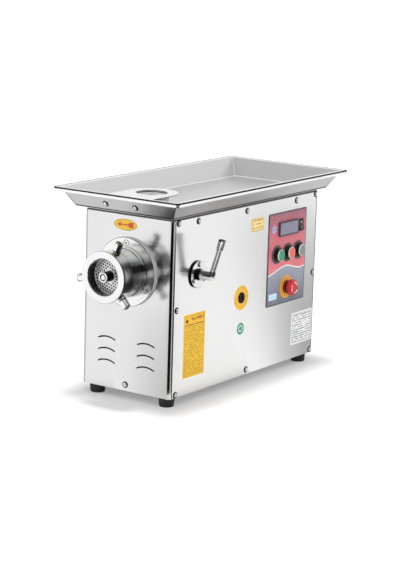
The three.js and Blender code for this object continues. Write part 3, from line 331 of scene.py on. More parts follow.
class Finish(Tree):
    def __init__(self, name, sockets):
        self.material = bpy.data.materials.new(name)
        self.material.use_nodes = True
        super().__init__(self.material.node_tree)
        shader = self.node("BsdfPrincipled", None, sockets)
        self.inputs = shader.socket.node.inputs
        self.node("OutputMaterial", None, {"Surface": shader})
        spot = self.node("TexCoord", output=3)
        moved = {"Location": -corner / mm, "Scale": (1 / mm,) * 3}
        self.spot = self.node("Mapping", None, {"Vector": spot, **moved})
        split = self.node("SeparateXYZ", None, {"Vector": self.spot}).socket.node.outputs
        self.x, self.y, self.z = (Link(self, out) for out in split)

    def set(self, name, value):
        self.put(self.inputs[name], value)

    # noise from 0 to 1 with cells of that size in millimetres, one number or three
    def grain(self, size, detail=2, vector=None):
        sizes = size if isinstance(size, tuple) else (size,) * 3
        scaled = self.node(
            "VectorMath",
            {"operation": "MULTIPLY"},
            {0: vector or self.spot, 1: tuple(1 / s for s in sizes)},
        )
        return self.node("TexNoise", None, {"Vector": scaled, "Scale": 1, "Detail": detail})

    def bump(self, height, strength, distance):
        values = {"Height": height, "Strength": strength, "Distance": distance * mm}
        self.set("Normal", self.node("Bump", None, values))

    # distance from an axis that runs across the machine
    def away(self, y, z):
        across, up = self.y - y, self.z - z
        return (across * across + up * up) ** 0.5

    # colour, roughness and relief that change a little over the surface
    def worn(self, colour, roughness, grain, cloud, contrast=0.04, spread=0.06, relief=0.1, depth=0.05):
        darker = tuple(c * (1 - contrast) for c in colour[:3]) + (1,)
        lighter = tuple(min(c * (1 + contrast), 1) for c in colour[:3]) + (1,)
        self.colour = self.blend(cloud, darker, lighter)
        self.set("Base Color", self.colour)
        self.set("Roughness", (grain + cloud) * (spread / 2) + (roughness - spread / 2))
        self.bump(grain, relief, depth)
        return self


finishes = {}


def sheetSteel(name, colour, roughness, edge):
    # Cold-rolled sheet with its grain upright.
    # edge: axis, place, side of it and shade of a bend's painted dark reflection
    steel = Finish(name, {"Metallic": 1.0})
    fine, broad = steel.grain((0.6, 0.6, 60), 3), steel.grain((45, 45, 260), 3)
    steel.worn(colour, roughness, fine, broad, 0.03, 0.08, 0.05, 0.02)
    axis, place, side, shade = edge
    # past the place the sheet is painted grey: a painted dark reflection on the bend
    paintedBendReflection = getattr(steel, axis) * side > place * side
    steel.set("Base Color", steel.blend(paintedBendReflection, steel.colour, grey(shade)))
    return steel.material


def turnedSteel(name, colour, roughness, axis, middle, paintedBands=(), paintedStreaks=()):
    # Metal turned on a lathe: fine rings around an axis along x or y.
    # each band: radii, places along the axis, shade and at times how metallic, painted as shade, dark
    # reflection or highlight.
    # each streak: heights above the axis, shade and at times how metallic, with soft edges, a painted
    # reflection
    steel = Finish(name, {"Metallic": 1.0})
    across, up, along = {
        "x": (steel.y - middle[0], steel.z - middle[1], steel.x),
        "y": (steel.x - middle[0], steel.z - middle[1], steel.y),
    }[axis]
    radius = (across * across + up * up) ** 0.5
    lathe = steel.node("CombineXYZ", None, {"X": radius, "Y": along, "Z": 0.0})
    steel.worn(colour, roughness, steel.grain(0.7, 3, lathe), steel.grain(28, 3), 0.04, 0.05, 0.06, 0.02)
    masks = []
    for low, high, *look in paintedStreaks:
        soft = (high - low) * 0.3
        masks.append((up.rise(low, low + soft) * (1 - up.rise(high - soft, high)), look))
    for radii, places, *look in paintedBands:
        masks.append((radius.between(*radii) * along.between(*places), look))
    shown, metal = steel.colour, 1
    for mask, (shade, *metallic) in masks:
        shown = steel.blend(mask, shown, grey(shade))
        for share in metallic:
            metal = mask * (share - 1) + metal
    steel.set("Metallic", metal)
    steel.set("Base Color", shown)
    return steel.material


def moulded(name, colour, roughness, size=0.8, contrast=0.06, relief=0.12, **extra):
    # Plastic, rubber or paint with a faint skin
    skin = Finish(name, {key.replace("_", " "): value for key, value in extra.items()})
    skin.worn(colour, roughness, skin.grain(size, 3), skin.grain(14, 3), contrast, 0.08, relief, 0.06)
    return skin.material


polished = grey(246)
# the end panels' left bends and the side panels' rear 8 mm carry a painted dark reflection
finishes["cabinet_steel"] = sheetSteel("cabinet steel", grey(232), 0.17, ("x", -cabinetHalf + 9, -1, 184))
finishes["side_steel"] = sheetSteel("side steel", grey(243), 0.2, ("y", cabinetLength - 8, 1, 172))
finishes["polished_steel"] = turnedSteel("head steel", polished, 0.22, "y", (0, driveHeight))

# metals: colour, roughness, and the size, contrast and relief of the grain
for key, *look in (
    ("bright_steel", polished, 0.1, 0.5, 0.03, 0.03),
    ("screw_steel", tone(240, 240, 242), 0.06, 0.5, 0.03, 0.02),
    ("cast_alloy", tone(196, 198, 200), 0.5, 1.4, 0.05, 0.5),
    ("dark_steel", tone(120, 122, 126), 0.35, 0.8, 0.08, 0.15),
    ("copper", tone(214, 138, 96), 0.28, 2.0, 0.08, 0.1),
):
    finishes[key] = moulded(key.replace("_", " "), *look, Metallic=1.0)

# paint, rubber, plastic and print: the same, with no numbers where the grain is the usual one
for key, *look in (
    ("black_paint", "black paint", tone(38, 39, 41), 0.35, 1.2, 0.1, 0.3),
    ("blue_paint", "blue paint", tone(52, 84, 128), 0.35, 1.2, 0.06, 0.3),
    ("seal_rubber", "seal rubber", tone(96, 97, 99), 0.4, 0.7, 0.1, 0.2),
    ("black_rubber", "black rubber", tone(34, 34, 35), 0.62, 0.7, 0.15, 0.4),
    ("black_plastic", "black plastic", tone(20, 19, 21), 0.2, 0.9, 0.1, 0.08),
    ("grey_plastic", "display housing plastic", tone(60, 60, 70), 0.3),
    ("panel_overlay", "overlay border", tone(72, 76, 92), 0.35, 0.6, 0.05, 0.05),
    ("green_plastic", "start cap plastic", tone(34, 152, 112), 0.3),
    ("red_plastic", "stop cap plastic", tone(240, 96, 92), 0.25),
    ("pale_grey_plastic", "reverse cap plastic", tone(136, 140, 136), 0.25),
    ("bezel_plastic", "bezel plastic", tone(212, 216, 210), 0.25),
    ("base_ring_plastic", "base ring plastic", tone(76, 84, 82), 0.4),
    ("mushroom_plastic", "mushroom plastic", tone(196, 36, 46), 0.25),
    ("collar_plastic", "emergency collar plastic", tone(84, 26, 28), 0.25),
    ("white_print", "white print", tone(242, 242, 240), 0.35),
    ("dark_glass", "display window", tone(140, 138, 156), 0.15, 4.0, 0.03, 0.02),
):
    finishes[key] = moulded(*look)
nearBlack = tone(14, 14, 15)
finishes["plug_plastic"] = moulded("plug plastic", nearBlack, 0.5, 0.9, 0.1, 0.1, Specular_IOR_Level=0.25)
# near-black for the tray's corner joints, and for strips and rings of painted shade at the cabinet's seams
# and round the screws
finishes["gap"] = moulded("dark gap", nearBlack, 0.7, Specular_IOR_Level=0.1)
# near-black for painted dark lines: a painted reflection along the tray's rim and painted shade at its foot
finishes["edge_trim"] = moulded("rim trim", nearBlack, 0.6, Specular_IOR_Level=0.2)


def gradient(name, low, high, stops):
    # A printed field whose colour changes with height
    overlay = Finish(name, {})
    climb = overlay.node("MapRange", None, {"Value": overlay.z, "From Min": low, "From Max": high})
    shade = overlay.node("ValToRGB", {"stops": stops}, {"Fac": climb})
    cloud = overlay.grain(30, 2)
    overlay.set("Base Color", overlay.blend(cloud * 0.12, shade, tone(255, 255, 255)))
    overlay.set("Roughness", overlay.grain(1.5, 2) * 0.1 + 0.25)
    return overlay.material


def ruledLabel(name, paper, ink, box, pitch, header=None, weight=0.5, words=6):
    # A sticker with ruled lines, broken up as words are. box: left, right, low, high
    left, right, low, high = box
    label = Finish(name, {})
    rows = (label.z * -1 + high) / pitch
    inRow = rows.math("FRACT").between(0.5 - weight / 2, 0.5 + weight / 2)
    line = rows.math("FLOOR")
    place = label.node("CombineXYZ", None, {"X": label.y / words, "Y": line * 7.7, "Z": 0.0})
    word = label.node("TexNoise", None, {"Vector": place, "Scale": 1.0, "Detail": 0.0}) > 0.42
    rim = 0.07 * (right - left)
    inside = label.y.between(left + rim, right - rim) * label.z.between(low + rim, high - rim)
    frameLine = (1 - inside) * label.y.between(left + rim * 0.5, right - rim * 0.5)
    frameLine = frameLine * label.z.between(low + rim * 0.5, high - rim * 0.5)
    mark = inRow * word * inside + frameLine * 0.5
    colour = label.blend(mark * 0.85, paper, ink)
    if header:
        share, headerColour = header
        colour = label.blend(label.z.between(high - share, high) * inside, colour, headerColour)
        underline = label.z.between(high - share - 1.2, high - share + 1.2)
        heading = label.z.between(high - share * 0.62, high - share * 0.36) * (
            label.y > left + 0.34 * (right - left)
        )
        colour = label.blend((underline + heading * word) * inside * 0.8, colour, ink)
    label.set("Base Color", colour)
    label.set("Roughness", label.grain(2, 2) * 0.1 + 0.35)
    return label.material


print("finishes made")


# Cabinet

cabinet = dict(
    bend=8,
    sheet=1.5,
    fold=32,             # end panels' side flanges
    inset=1.8,           # flanges behind the side panels
    glandHole=8,
    louvreColumn=58,
    louvreHeights=(61.5, 90, 118.5),
    louvreWidth=51,
    louvreRise=6,
    slot=3.6,
    ventColumn=55,
    ventWidth=70,
    ventHeight=5,
    ventHeights=(50, 70, 90, 110, 130, 150),
)
headBore = 57.6
gland = centre("cable_gland")


def endPanel(place):
    half, bend, sheet, inset = cabinetHalf, cabinet["bend"], cabinet["sheet"], cabinet["inset"]
    flange, fold = half - inset, cabinet["fold"]
    outer = [(flange, fold), (flange, bend), (half, bend)]
    outer += arc(bend, 0, -90, 12, (half - bend, bend))
    inner = arc(bend - inset - sheet, -90, 0, 8, (half - bend, bend - inset)) + [(flange - sheet, fold)]
    section = outer + [(-u, v) for u, v in outer[::-1]]
    section += [(-u, v) for u, v in inner[::-1]] + inner
    shape = Shape()
    rows = [shape.row([(u, v, height) for u, v in section], place) for height in (0, cabinetHeight)]
    shape.skin(rows)
    shape.cap(rows[0])
    shape.cap(rows[1])
    return shape


def louvre(x, z):
    half, rise = cabinet["louvreWidth"] / 2, cabinet["louvreRise"]
    steps = [i / 10 - 1 for i in range(21)]
    return band([(x + half * t, z + rise * (1 - t * t)) for t in steps], cabinet["slot"])


frontDepth = (-3, 4)
rearDepth = (cabinetLength - 4, cabinetLength + 3)
frontCuts = Shape()
frontCuts.plate([circle(headBore, 96, (0, driveHeight))], alongY(0, 0), *frontDepth)
for side in (-1, 1):
    for height in cabinet["louvreHeights"]:
        frontCuts.plate([louvre(side * cabinet["louvreColumn"], height)], alongY(0, 0), *frontDepth)
endPanel(alongZ(0, 0)).combined(frontCuts).piece(
    "frontPanel", finishes["cabinet_steel"], nodes=["front_panel"], slot="cabinet_steel"
)

rearCuts = Shape()
rearCuts.plate([circle(cabinet["glandHole"], 32, (gland.x, gland.z))], alongY(0, 0), *rearDepth)
for side in (-1, 1):
    for height in cabinet["ventHeights"]:
        middle, half = side * cabinet["ventColumn"], cabinet["ventWidth"] / 2
        rise = cabinet["ventHeight"]
        vent = roundedBox(middle - half, middle + half, height, height + rise, rise / 2 - 0.01)
        rearCuts.plate([vent], alongY(0, 0), *rearDepth)
rearPlace = frameOf((1, 0, 0), (0, -1, 0), (0, 0, 1), (0, cabinetLength, 0))
endPanel(rearPlace).combined(rearCuts).piece(
    "rearPanel", finishes["cabinet_steel"], nodes=["rear_panel"], slot="cabinet_steel"
)

# dark strips of painted shade where the end panels' bends meet the side panels
seam = dict(width=2.2, rise=0.1)
shape = Shape()
for x in (panelFace, -panelFace):
    sign = 1 if x > 0 else -1
    for y in (cabinet["bend"] - 0.2, cabinetLength - cabinet["bend"] + 0.2 - seam["width"]):
        strip = roundedBox(y, y + seam["width"], 0.5, cabinetHeight - 0.5, 0.2, 2)
        shape.plate([strip], frameOf((0, 1, 0), (0, 0, 1), (sign, 0, 0), (x, 0, 0)), -0.4, seam["rise"])
shape.piece("cornerSeams", finishes["gap"], slot="dark_steel")

foot = dict(top=20, bottom=17.5, height=23.7)
for node in ("foot_front_left", "foot_front_right", "foot_rear_left", "foot_rear_right"):
    middle, low = centre(node), span(node)[0].z
    profile = softened(
        [
            (0, 3), (7, 3), (7, 0), (foot["bottom"], 0), (foot["top"] - 0.8, foot["height"] - 5),
            (foot["top"], foot["height"] - 4), (foot["top"], foot["height"]), (0, foot["height"]),
        ],
        1.4,
    )
    name = "".join(word.capitalize() for word in node.split("_"))
    Shape().turned(profile, alongZ(middle.x, middle.y, low), 48).piece(
        name[0].lower() + name[1:], finishes["black_rubber"], nodes=[node], slot="black_rubber"
    )

glandProfile = [
    (7.5, -11), (7.5, 0.3), (10.4, 0.3), (11, 0.9), (11, 3.6), (10.2, 4.2), (10.2, 5),
    (11, 5.4), (11, 9), (8.2, 13.6), (7.6, 14.3), (5, 14.3), (5, -11),
]
Shape().turned(glandProfile, alongY(gland.x, gland.z, cabinetLength), 48, closed=True).piece(
    "cableGland", finishes["black_plastic"], nodes=["cable_gland"], slot="black_plastic"
)
print("cabinet made")


# Tray

trayLow, trayHigh = span("tray")
tray = dict(
    splay=28,           # how far each wall leans out
    wall=1.2,
    rim=13,
    lip=9.5,
    bend=3,
    rimCorner=9,
    trim=3.3,
)
feedY = centre("feed_neck").y
trayRise = trayHigh.z - trayLow.z
reach = trayHigh.x                       # the rim's edge
footReach = reach - tray["splay"] - tray["rim"]
footFront = trayLow.y + tray["splay"] + tray["rim"]
footRear = trayHigh.y - tray["splay"] - tray["rim"]
lean = tray["wall"] * math.hypot(trayRise, tray["splay"]) / trayRise


def trayLoop(out, radius=None):
    radius = tray["bend"] if radius is None else radius
    return roundedBox(-footReach - out, footReach + out, footFront - out, footRear + out, radius, 6)


def trayRow(shape, out, up, radius=None):
    return shape.row([(x, y, trayLow.z + up) for x, y in trayLoop(out, radius)], Matrix())


def trayFinish():
    # satin inside; a little darker outside as painted shade, brighter on the rim and at the floor's bend as
    # painted highlights
    steel = Finish("tray steel", {})
    steel.worn(
        grey(214), 0.3, steel.grain((0.6, 60, 0.6), 3), steel.grain((45, 260, 45), 3), 0.03, 0.08, 0.05,
        0.02
    )
    across = steel.x.math("ABSOLUTE") - footReach
    along = (steel.y * -1 + footFront).math("MAXIMUM", steel.y - footRear)
    out = across.math("MAXIMUM", along)
    onRim = out.rise(tray["splay"] - 1.5, tray["splay"] - 0.3)
    outsideShade = out - (steel.z - trayLow.z) * (tray["splay"] / trayRise) > -0.7
    bendHighlight = out.between(-2.1, 0) * (steel.z < trayLow.z + 2)
    # painted shade on the outside, painted highlights on the rim and along the floor's bend
    shown = steel.blend(outsideShade, steel.colour, grey(198))
    shown = steel.blend(onRim.math("MAXIMUM", bendHighlight), shown, grey(250))
    steel.set("Base Color", shown)
    steel.set("Metallic", 1 - bendHighlight * 0.6)
    steel.set("Roughness", onRim * -0.12 + (steel.grain(3, 2) * 0.08 + 0.26))
    return steel.material


finishes["tray_steel"] = trayFinish()
edge = tray["splay"] + tray["rim"]
rimUnder, lipLow = trayRise - tray["wall"], trayRise - tray["lip"]
trayProfile = softened(
    [
        (-20, 0), (0, 0), (tray["splay"], rimUnder), (edge - 1.6, rimUnder),
        (edge - 1.6, lipLow), (edge - 0.3, lipLow), (edge - 0.3, trayRise - 0.2),
        (tray["splay"] - lean, trayRise - 0.2), (-lean, tray["wall"]), (-20, tray["wall"]),
    ],
    2.4,
)


def rimCorner(out):
    # the rim's corners are rounder than the walls'
    share = min(max((out - tray["splay"]) / tray["rim"], 0), 1)
    return tray["bend"] + share * (tray["rimCorner"] - tray["bend"])


shape = Shape()
rows = [trayRow(shape, out, up, max(rimCorner(out), 0.5)) for out, up in trayProfile]
shape.skin(rows)
trayFloor = [trayProfile[0], trayProfile[-1]]
throatBore = 41.3
for out, up in trayFloor:
    outlines = [trayLoop(out, tray["bend"]), circle(throatBore, 64, (0, feedY))]
    shape.plate(outlines, alongZ(0, 0, trayLow.z + up), 0, 0)
hole = [shape.row(circle(throatBore, 64, (0, feedY)), alongZ(0, 0, trayLow.z + up)) for _, up in trayFloor]
shape.skin(hole)
shape.piece("traySheet", finishes["tray_steel"], nodes=["tray"], slot="tray_steel", crease=40)

# the ribbed seal, and a dark strip of painted shade where the walls stand on it
sealLow = span("tray_seal")[0]
sealProfile = [(1.6, 0.1), (1.6, 2.2), (3.2, 2.8), (3.2, 4.9), (1.6, 5.5), (1.6, 7.9), (14, 7.9), (14, 0.1)]
shape = Shape()
rows = []
for inset, up in sealProfile:
    outline = roundedBox(-cabinetHalf + inset, cabinetHalf - inset, inset, cabinetLength - inset, 6, 6)
    rows.append(shape.row([(x, y, sealLow.z + up) for x, y in outline], Matrix()))
shape.skin(rows, closed=True)
shape.piece("traySeal", finishes["seal_rubber"], nodes=["tray_seal"], slot="black_rubber")
shape = Shape()
leaning = tray["splay"] / rimUnder
strip = [(2.2, -0.6), (2.3, 0.4), (4.4, 0.4), (4.5, -0.6)]
shape.skin([trayRow(shape, up * leaning + out, up) for up, out in strip], closed=True)
shape.piece("trayFootStrip", finishes["edge_trim"], slot="black_rubber")

# a dark strip along the lip's upper edge, a painted dark reflection
shape = Shape()
reflectionLineLow = trayRise - tray["trim"]
reflectionLineSection = softened(
    [(edge - 3.4, trayRise), (edge, trayRise), (edge, reflectionLineLow), (edge - 0.35, reflectionLineLow)],
    0.5,
)
reflectionLineSection += [(edge - 0.5, reflectionLineLow), (edge - 3.4, trayRise - 0.6)]
shape.skin([trayRow(shape, out, up, rimCorner(out)) for out, up in reflectionLineSection], closed=True)
shape.piece("rimTrim", finishes["edge_trim"], slot="black_plastic")

# mitred corners of the walls, closed by a dark seam
shape = Shape()
for sideX in (-1, 1):
    for front in (True, False):
        turn = math.radians(45) * (1 if sideX > 0 else 3) * (-1 if front else 1)
        ends = []
        for up in (1.5, lipLow - 0.6):
            out = up * leaning - 0.2
            diagonal = (out + tray["bend"] * (math.sqrt(0.5) - 1)) * math.sqrt(2)
            x = sideX * footReach + diagonal * math.cos(turn)
            y = (footFront if front else footRear) + diagonal * math.sin(turn)
            ends.append(Vector((x, y, trayLow.z + up)))
        way = ends[1] - ends[0]
        shape.plate([circle(1.1, 12)], alongLine(ends[0], way), 0, way.length)
shape.piece("traySeams", finishes["gap"], slot="dark_steel")

throatLow, throatHigh = span("throat_plate")
throatSteel = Finish("throat plate steel", {"Metallic": 1.0})
throatSteel.worn(
    grey(246), 0.3, throatSteel.grain((60, 0.6, 0.6), 3), throatSteel.grain(45, 3), 0.03, 0.08, 0.05, 0.02
)
# the plate's sides are painted dark grey: painted shade along its edge
edgeShade = throatSteel.z < throatHigh.z - 0.5
throatSteel.set("Base Color", throatSteel.blend(edgeShade, throatSteel.colour, grey(60)))
finishes["throat_steel"] = throatSteel.material
neckHigh = span("feed_neck")[1]
neck = dict(bore=38, outer=neckHigh.x)
radius = throatHigh.x
outline = arc(radius, 0, 180, 32, (0, feedY)) + [(-radius, throatLow.y), (radius, throatLow.y)]
Shape().plate(
    [outline, circle(neck["bore"], 72, (0, feedY))], alongZ(0, 0), throatLow.z, throatHigh.z, 0.6
).piece("throatPlate", finishes["throat_steel"], nodes=["throat_plate"], slot="polished_steel")

neckProfile = softened(
    [
        (neck["bore"], driveHeight), (neck["bore"], neckHigh.z),
        (neck["outer"], neckHigh.z), (neck["outer"], driveHeight),
    ],
    0.8,
)
neckSteel = Finish("feed neck steel", {"Metallic": 0.4})
neckSteel.worn(
    grey(246), 0.45, neckSteel.grain((9, 9, 0.8), 3), neckSteel.grain(20, 3), 0.03, 0.08, 0.06, 0.03
)
shown = neckSteel.colour
# dark rings near the top of the bore: painted shade inside the neck
for top, bottom in ((0.6, 3.4), (9, 10.2), (15, 15.8)):
    ring = neckSteel.z.between(neckHigh.z - bottom, neckHigh.z - top)
    shown = neckSteel.blend(ring, shown, grey(70))
neckSteel.set("Base Color", shown)
saddle = Shape().turned([(0, -20), (57.3, -20), (57.3, 190), (0, 190)], alongY(0, driveHeight), 96)
Shape().turned(neckProfile, alongZ(0, feedY), 72, closed=True).combined(saddle).piece(
    "feedNeck", neckSteel.material, nodes=["feed_neck"], slot="polished_steel"
)
print("tray made")


# Mincing head

onDrive = alongY(0, driveHeight)
head = dict(
    flange=83,
    flangeBore=57.3,
    flangeFront=-8,
    flangeBack=-0.3,
    screwCircle=70,
    screwAngles=(90, 210, 330),
    barrel=57,
    collar=61,
    collarFront=-16.3,
    rear=span("head_barrel")[1].y,
    front=span("head_barrel")[0].y,
)


def onCircle(radius, angle, middle=(0, 0)):
    turn = math.radians(angle)
    return middle[0] + radius * math.cos(turn), middle[1] + radius * math.sin(turn)


headMiddle = (0, driveHeight)
rim = (head["flange"] - 1, 99)
# painted reflections: the rim lighter and less metallic, with a black line at its front edge
flangeSteel = turnedSteel(
    "head flange steel", polished, 0.2, "y", headMiddle,
    [(rim, (-6.9, 0), 222, 0.15), (rim, (-9, -6.9), 24)]
)
barrel, collar, collarFront = head["barrel"], head["collar"], head["collarFront"]
# painted shade inside the bore, painted dark lines at the collar, and painted reflection streaks above and
# below the axis
barrelSteel = turnedSteel(
    "head barrel steel", polished, 0.3, "y", headMiddle,
    [
        ((0, barrel - 0.6), (-200, 200), 40),
        ((barrel - 1, barrel + 1), (collarFront - 0.8, collarFront + 0.4), 20),
        ((collar - 0.4, collar + 1), (collarFront + 2.6, collarFront + 3.4), 40),
        ((collar - 1, collar + 1), (-9.2, -8), 30),
    ],
    [(6, 30, 110), (-58, -26, 190)],
)
flangeHoles = [circle(7.5, 32, onCircle(head["screwCircle"], angle)) for angle in head["screwAngles"]]
Shape().plate(
    [circle(head["flange"], 128), circle(head["flangeBore"], 96), *flangeHoles],
    onDrive, head["flangeFront"], head["flangeBack"], 0.9,
).piece("headFlange", flangeSteel, nodes=["head_flange"], slot="polished_steel")

shape = Shape()
for angle in head["screwAngles"]:
    spot = onCircle(head["screwCircle"], angle)
    front = head["flangeFront"] + 0.3
    shape.plate([circle(6.3, 32, spot), hexagon(5, spot)], onDrive, front, front + 3.4, 0.4)
    shape.plate([circle(6.3, 32, spot)], onDrive, front + 3.4, head["flangeBack"])
shape.piece("flangeScrews", finishes["bright_steel"], slot="polished_steel")

nutLow, nutHigh = span("ring_nut")
plateLow, plateHigh = span("mincing_plate")
barrelProfile = [
    (49.3, head["front"]), (52.4, head["front"]), (53, head["front"] + 0.6), (53, nutHigh.y + 0.3),
    (barrel - 0.6, nutHigh.y + 0.3), (barrel, nutHigh.y + 0.9), (barrel, collarFront - 0.6),
    (barrel + 0.6, collarFront), (collar - 0.8, collarFront), (collar, collarFront + 0.8), (collar, -8.3),
    (barrel, -8.3), (barrel, head["rear"]), (15.3, head["rear"]), (15.3, 160), (48, 160),
    (48, plateHigh.y + 0.3), (49.3, plateHigh.y + 0.3),
]
barrelCuts = Shape()
barrelCuts.plate([circle(neck["bore"], 64, (0, feedY))], alongZ(0, 0), driveHeight, driveHeight + 66)
clampAxis = centre("clamp_flange")
clampHole = circle(9.3, 48, (clampAxis.y, clampAxis.z))
barrelCuts.plate([clampHole], alongX(0, 0), 45, 66)
Shape().turned(barrelProfile, onDrive, 128, closed=True).combined(barrelCuts).piece(
    "headBarrel", barrelSteel, nodes=["head_barrel"], slot="polished_steel"
)

# set screw in the barrel, just before its collar
setScrew = dict(angle=-22.5, y=-33.9, radius=3.6)
turn = math.radians(setScrew["angle"])
outward = Vector((math.cos(turn), 0, math.sin(turn)))
place = alongLine(Vector((0, setScrew["y"], driveHeight)), outward)
shape = Shape()
shape.plate([circle(setScrew["radius"], 32), hexagon(3.4)], place, 55, 58.4, 0.5)
shape.plate([circle(setScrew["radius"] - 0.2, 32)], place, 53, 56)
shape.piece("setScrew", finishes["bright_steel"], slot="polished_steel")

nut = dict(bead=62, outer=60, beadLength=6, mouth=44, mouthDepth=26, bore=53.5)
front, rear = nutLow.y, nutHigh.y
bead, outer, mouth = nut["bead"], nut["outer"], nut["mouth"]
beadRear, mouthEnd = front + nut["beadLength"], front + nut["mouthDepth"]
nutProfile = [
    (mouth + 1.2, front), (bead - 1.4, front), (bead - 0.4, front + 0.4), (bead, front + 1.4),
    (bead, beadRear - 1.2), (bead - 0.4, beadRear - 0.3), (outer + 0.3, beadRear), (outer, beadRear + 0.5),
    (outer, rear - 0.9), (outer - 0.9, rear), (nut["bore"], rear), (nut["bore"], mouthEnd),
    (mouth, mouthEnd), (mouth, front + 1.2),
]
# painted shade in the mouth and painted dark lines at the nut's front, bead and back
nutSteel = turnedSteel(
    "ring nut steel", polished, 0.2, "y", headMiddle,
    [
        ((0, mouth + 1), (front + 1.3, front + 60), 46),
        ((0, mouth + 1), (front + 5, front + 7), 110),
        ((0, mouth + 1), (front + 11, front + 12.5), 90),
        ((0, 99), (rear - 1.6, rear + 1), 24),
        ((60.4, 61.7), (beadRear - 1.2, beadRear + 1), 50),
        ((bead - 0.7, 99), (front - 1, front + 2), 90),
    ],
)
Shape().turned(nutProfile, onDrive, 128, closed=True).piece(
    "ringNut", nutSteel, "ring_nut", ["ring_nut"], "polished_steel"
)

knob = dict(radius=9.75, start=60.3, end=88.5, angles=(70, 190, 310), y=centre("ring_knob_1").y)


def gripProfile(radius, start, end):
    # base ring, groove, barrel, dished end
    return [
        (0, start), (radius - 0.9, start), (radius, start + 0.9), (radius, start + 4.6),
        (radius - 0.7, start + 5.3), (radius - 1.5, start + 5.5), (radius - 1.5, start + 6.8),
        (radius - 0.7, start + 7), (radius, start + 7.7), (radius, end - 1.6), (radius - 0.5, end - 0.5),
        (radius - 1.5, end), (radius - 2.8, end), (radius - 3.6, end - 0.8), (radius - 4.2, end - 1.6),
        (0, end - 1.6),
    ]


# painted dark reflection rings on the knobs, and painted dark streaks on the left knob's top and bottom
knobSteel = turnedSteel(
    "knob steel", polished, 0.14, "y", headMiddle,
    [((60, 61.6), (-200, 0), 24), ((65.3, 67.4), (-200, 0), 24), ((86.0, 87.4), (-200, 0), 30)],
    [(-7, -1, 14), (-27, -19, 14)],
)
for index, angle in enumerate(knob["angles"], 1):
    turn = math.radians(angle)
    outward = Vector((math.cos(turn), 0, math.sin(turn)))
    place = alongLine(Vector((0, knob["y"], driveHeight)), outward)
    Shape().turned(gripProfile(knob["radius"], knob["start"], knob["end"]), place, 48).piece(
        f"nutKnob{index}", knobSteel, "ring_nut", [f"ring_knob_{index}"], "polished_steel"
    )

mincer = dict(bore=12.8, hub=17.5, holeRadius=2.3, pitch=7.3, drilled=43.2, turn=-16)
holes = []
reachRows = int(mincer["drilled"] / mincer["pitch"]) + 2
for rowIndex in range(-reachRows, reachRows + 1):
    for column in range(-reachRows, reachRows + 1):
        x = mincer["pitch"] * (column + (rowIndex % 2) / 2)
        z = mincer["pitch"] * rowIndex * math.sqrt(3) / 2
        away = math.hypot(x, z)
        if mincer["hub"] < away < mincer["drilled"]:
            spot = onCircle(away, math.degrees(math.atan2(z, x)) + mincer["turn"])
            holes.append(circle(mincer["holeRadius"], 16, spot))
plateSteel = Finish("mincing plate steel", {"Metallic": 0.6})
plateSteel.worn(grey(252), 0.3, plateSteel.grain(2, 3), plateSteel.grain(18, 3), 0.02, 0.08, 0.03, 0.02)
# behind its face the plate is painted near-black: painted shade inside the holes
drilled = plateSteel.y > plateLow.y + 0.35
plateSteel.set("Base Color", plateSteel.blend(drilled, plateSteel.colour, grey(10)))
finishes["plate_steel"] = plateSteel.material
Shape().plate(
    [circle(plateHigh.x, 96), circle(mincer["bore"], 48), *holes], onDrive, plateLow.y, plateHigh.y, 0.25, 0
).piece("mincingPlate", finishes["plate_steel"], "plate_carrier", ["mincing_plate"], "plate_steel")

augerLow, augerHigh = span("auger")
auger = dict(
    stud=12.5, core=20, flight=47.4, flightStart=plateHigh.y + 14.6, flightEnd=158.8, pitch=70, wedge=50,
    shank=15, tang=9.7
)
tip, shankEnd = augerLow.y, augerHigh.y - 18
stud, flightStart, flightEnd = auger["stud"], auger["flightStart"], auger["flightEnd"]
studProfile = [
    (0, tip + 0.5), (5.6, tip + 0.5), (6.3, tip + 1.1), (6.3, tip + 3.4), (8.4, tip + 3.4),
    (8.4, tip + 0.5), (8.9, tip), (11, tip), (stud - 0.4, tip + 0.5), (stud, tip + 1.5),
    (stud, flightStart), (auger["core"], flightStart), (auger["core"], flightEnd),
    (auger["shank"], flightEnd), (auger["shank"], shankEnd), (0, shankEnd),
]
core = Shape().turned(studProfile, onDrive, 64)
flight = Shape()
rows, steps = [], 96
for i in range(steps + 1):
    along = flightStart + (flightEnd - flightStart) * i / steps
    turned = -(along - flightStart) / auger["pitch"] * 360
    first, last = turned - auger["wedge"] / 2, turned + auger["wedge"] / 2
    section = arc(auger["flight"], first, last, 8) + arc(auger["core"] - 3, last, first, 4)
    rows.append(flight.row([(u, v, along) for u, v in section], onDrive))
flight.skin(rows)
flight.cap(rows[0])
flight.cap(rows[-1])
core.combined(flight, "UNION")
tang = auger["tang"]
core.plate([roundedBox(-tang, tang, -tang, tang, 1)], onDrive, shankEnd, augerHigh.y, 0.5)
# painted shade over the auger behind its tip, and in the stud's recess
augerSteel = turnedSteel(
    "auger steel", polished, 0.2, "y", headMiddle,
    [((11.9, 99), (tip + 2.2, 999), 34), ((6, 8.8), (tip + 1, tip + 9), 20)],
)
core.piece("augerTurned", augerSteel, "auger", ["auger"], "polished_steel")
print("mincing head made")


# Head clamp on the right side

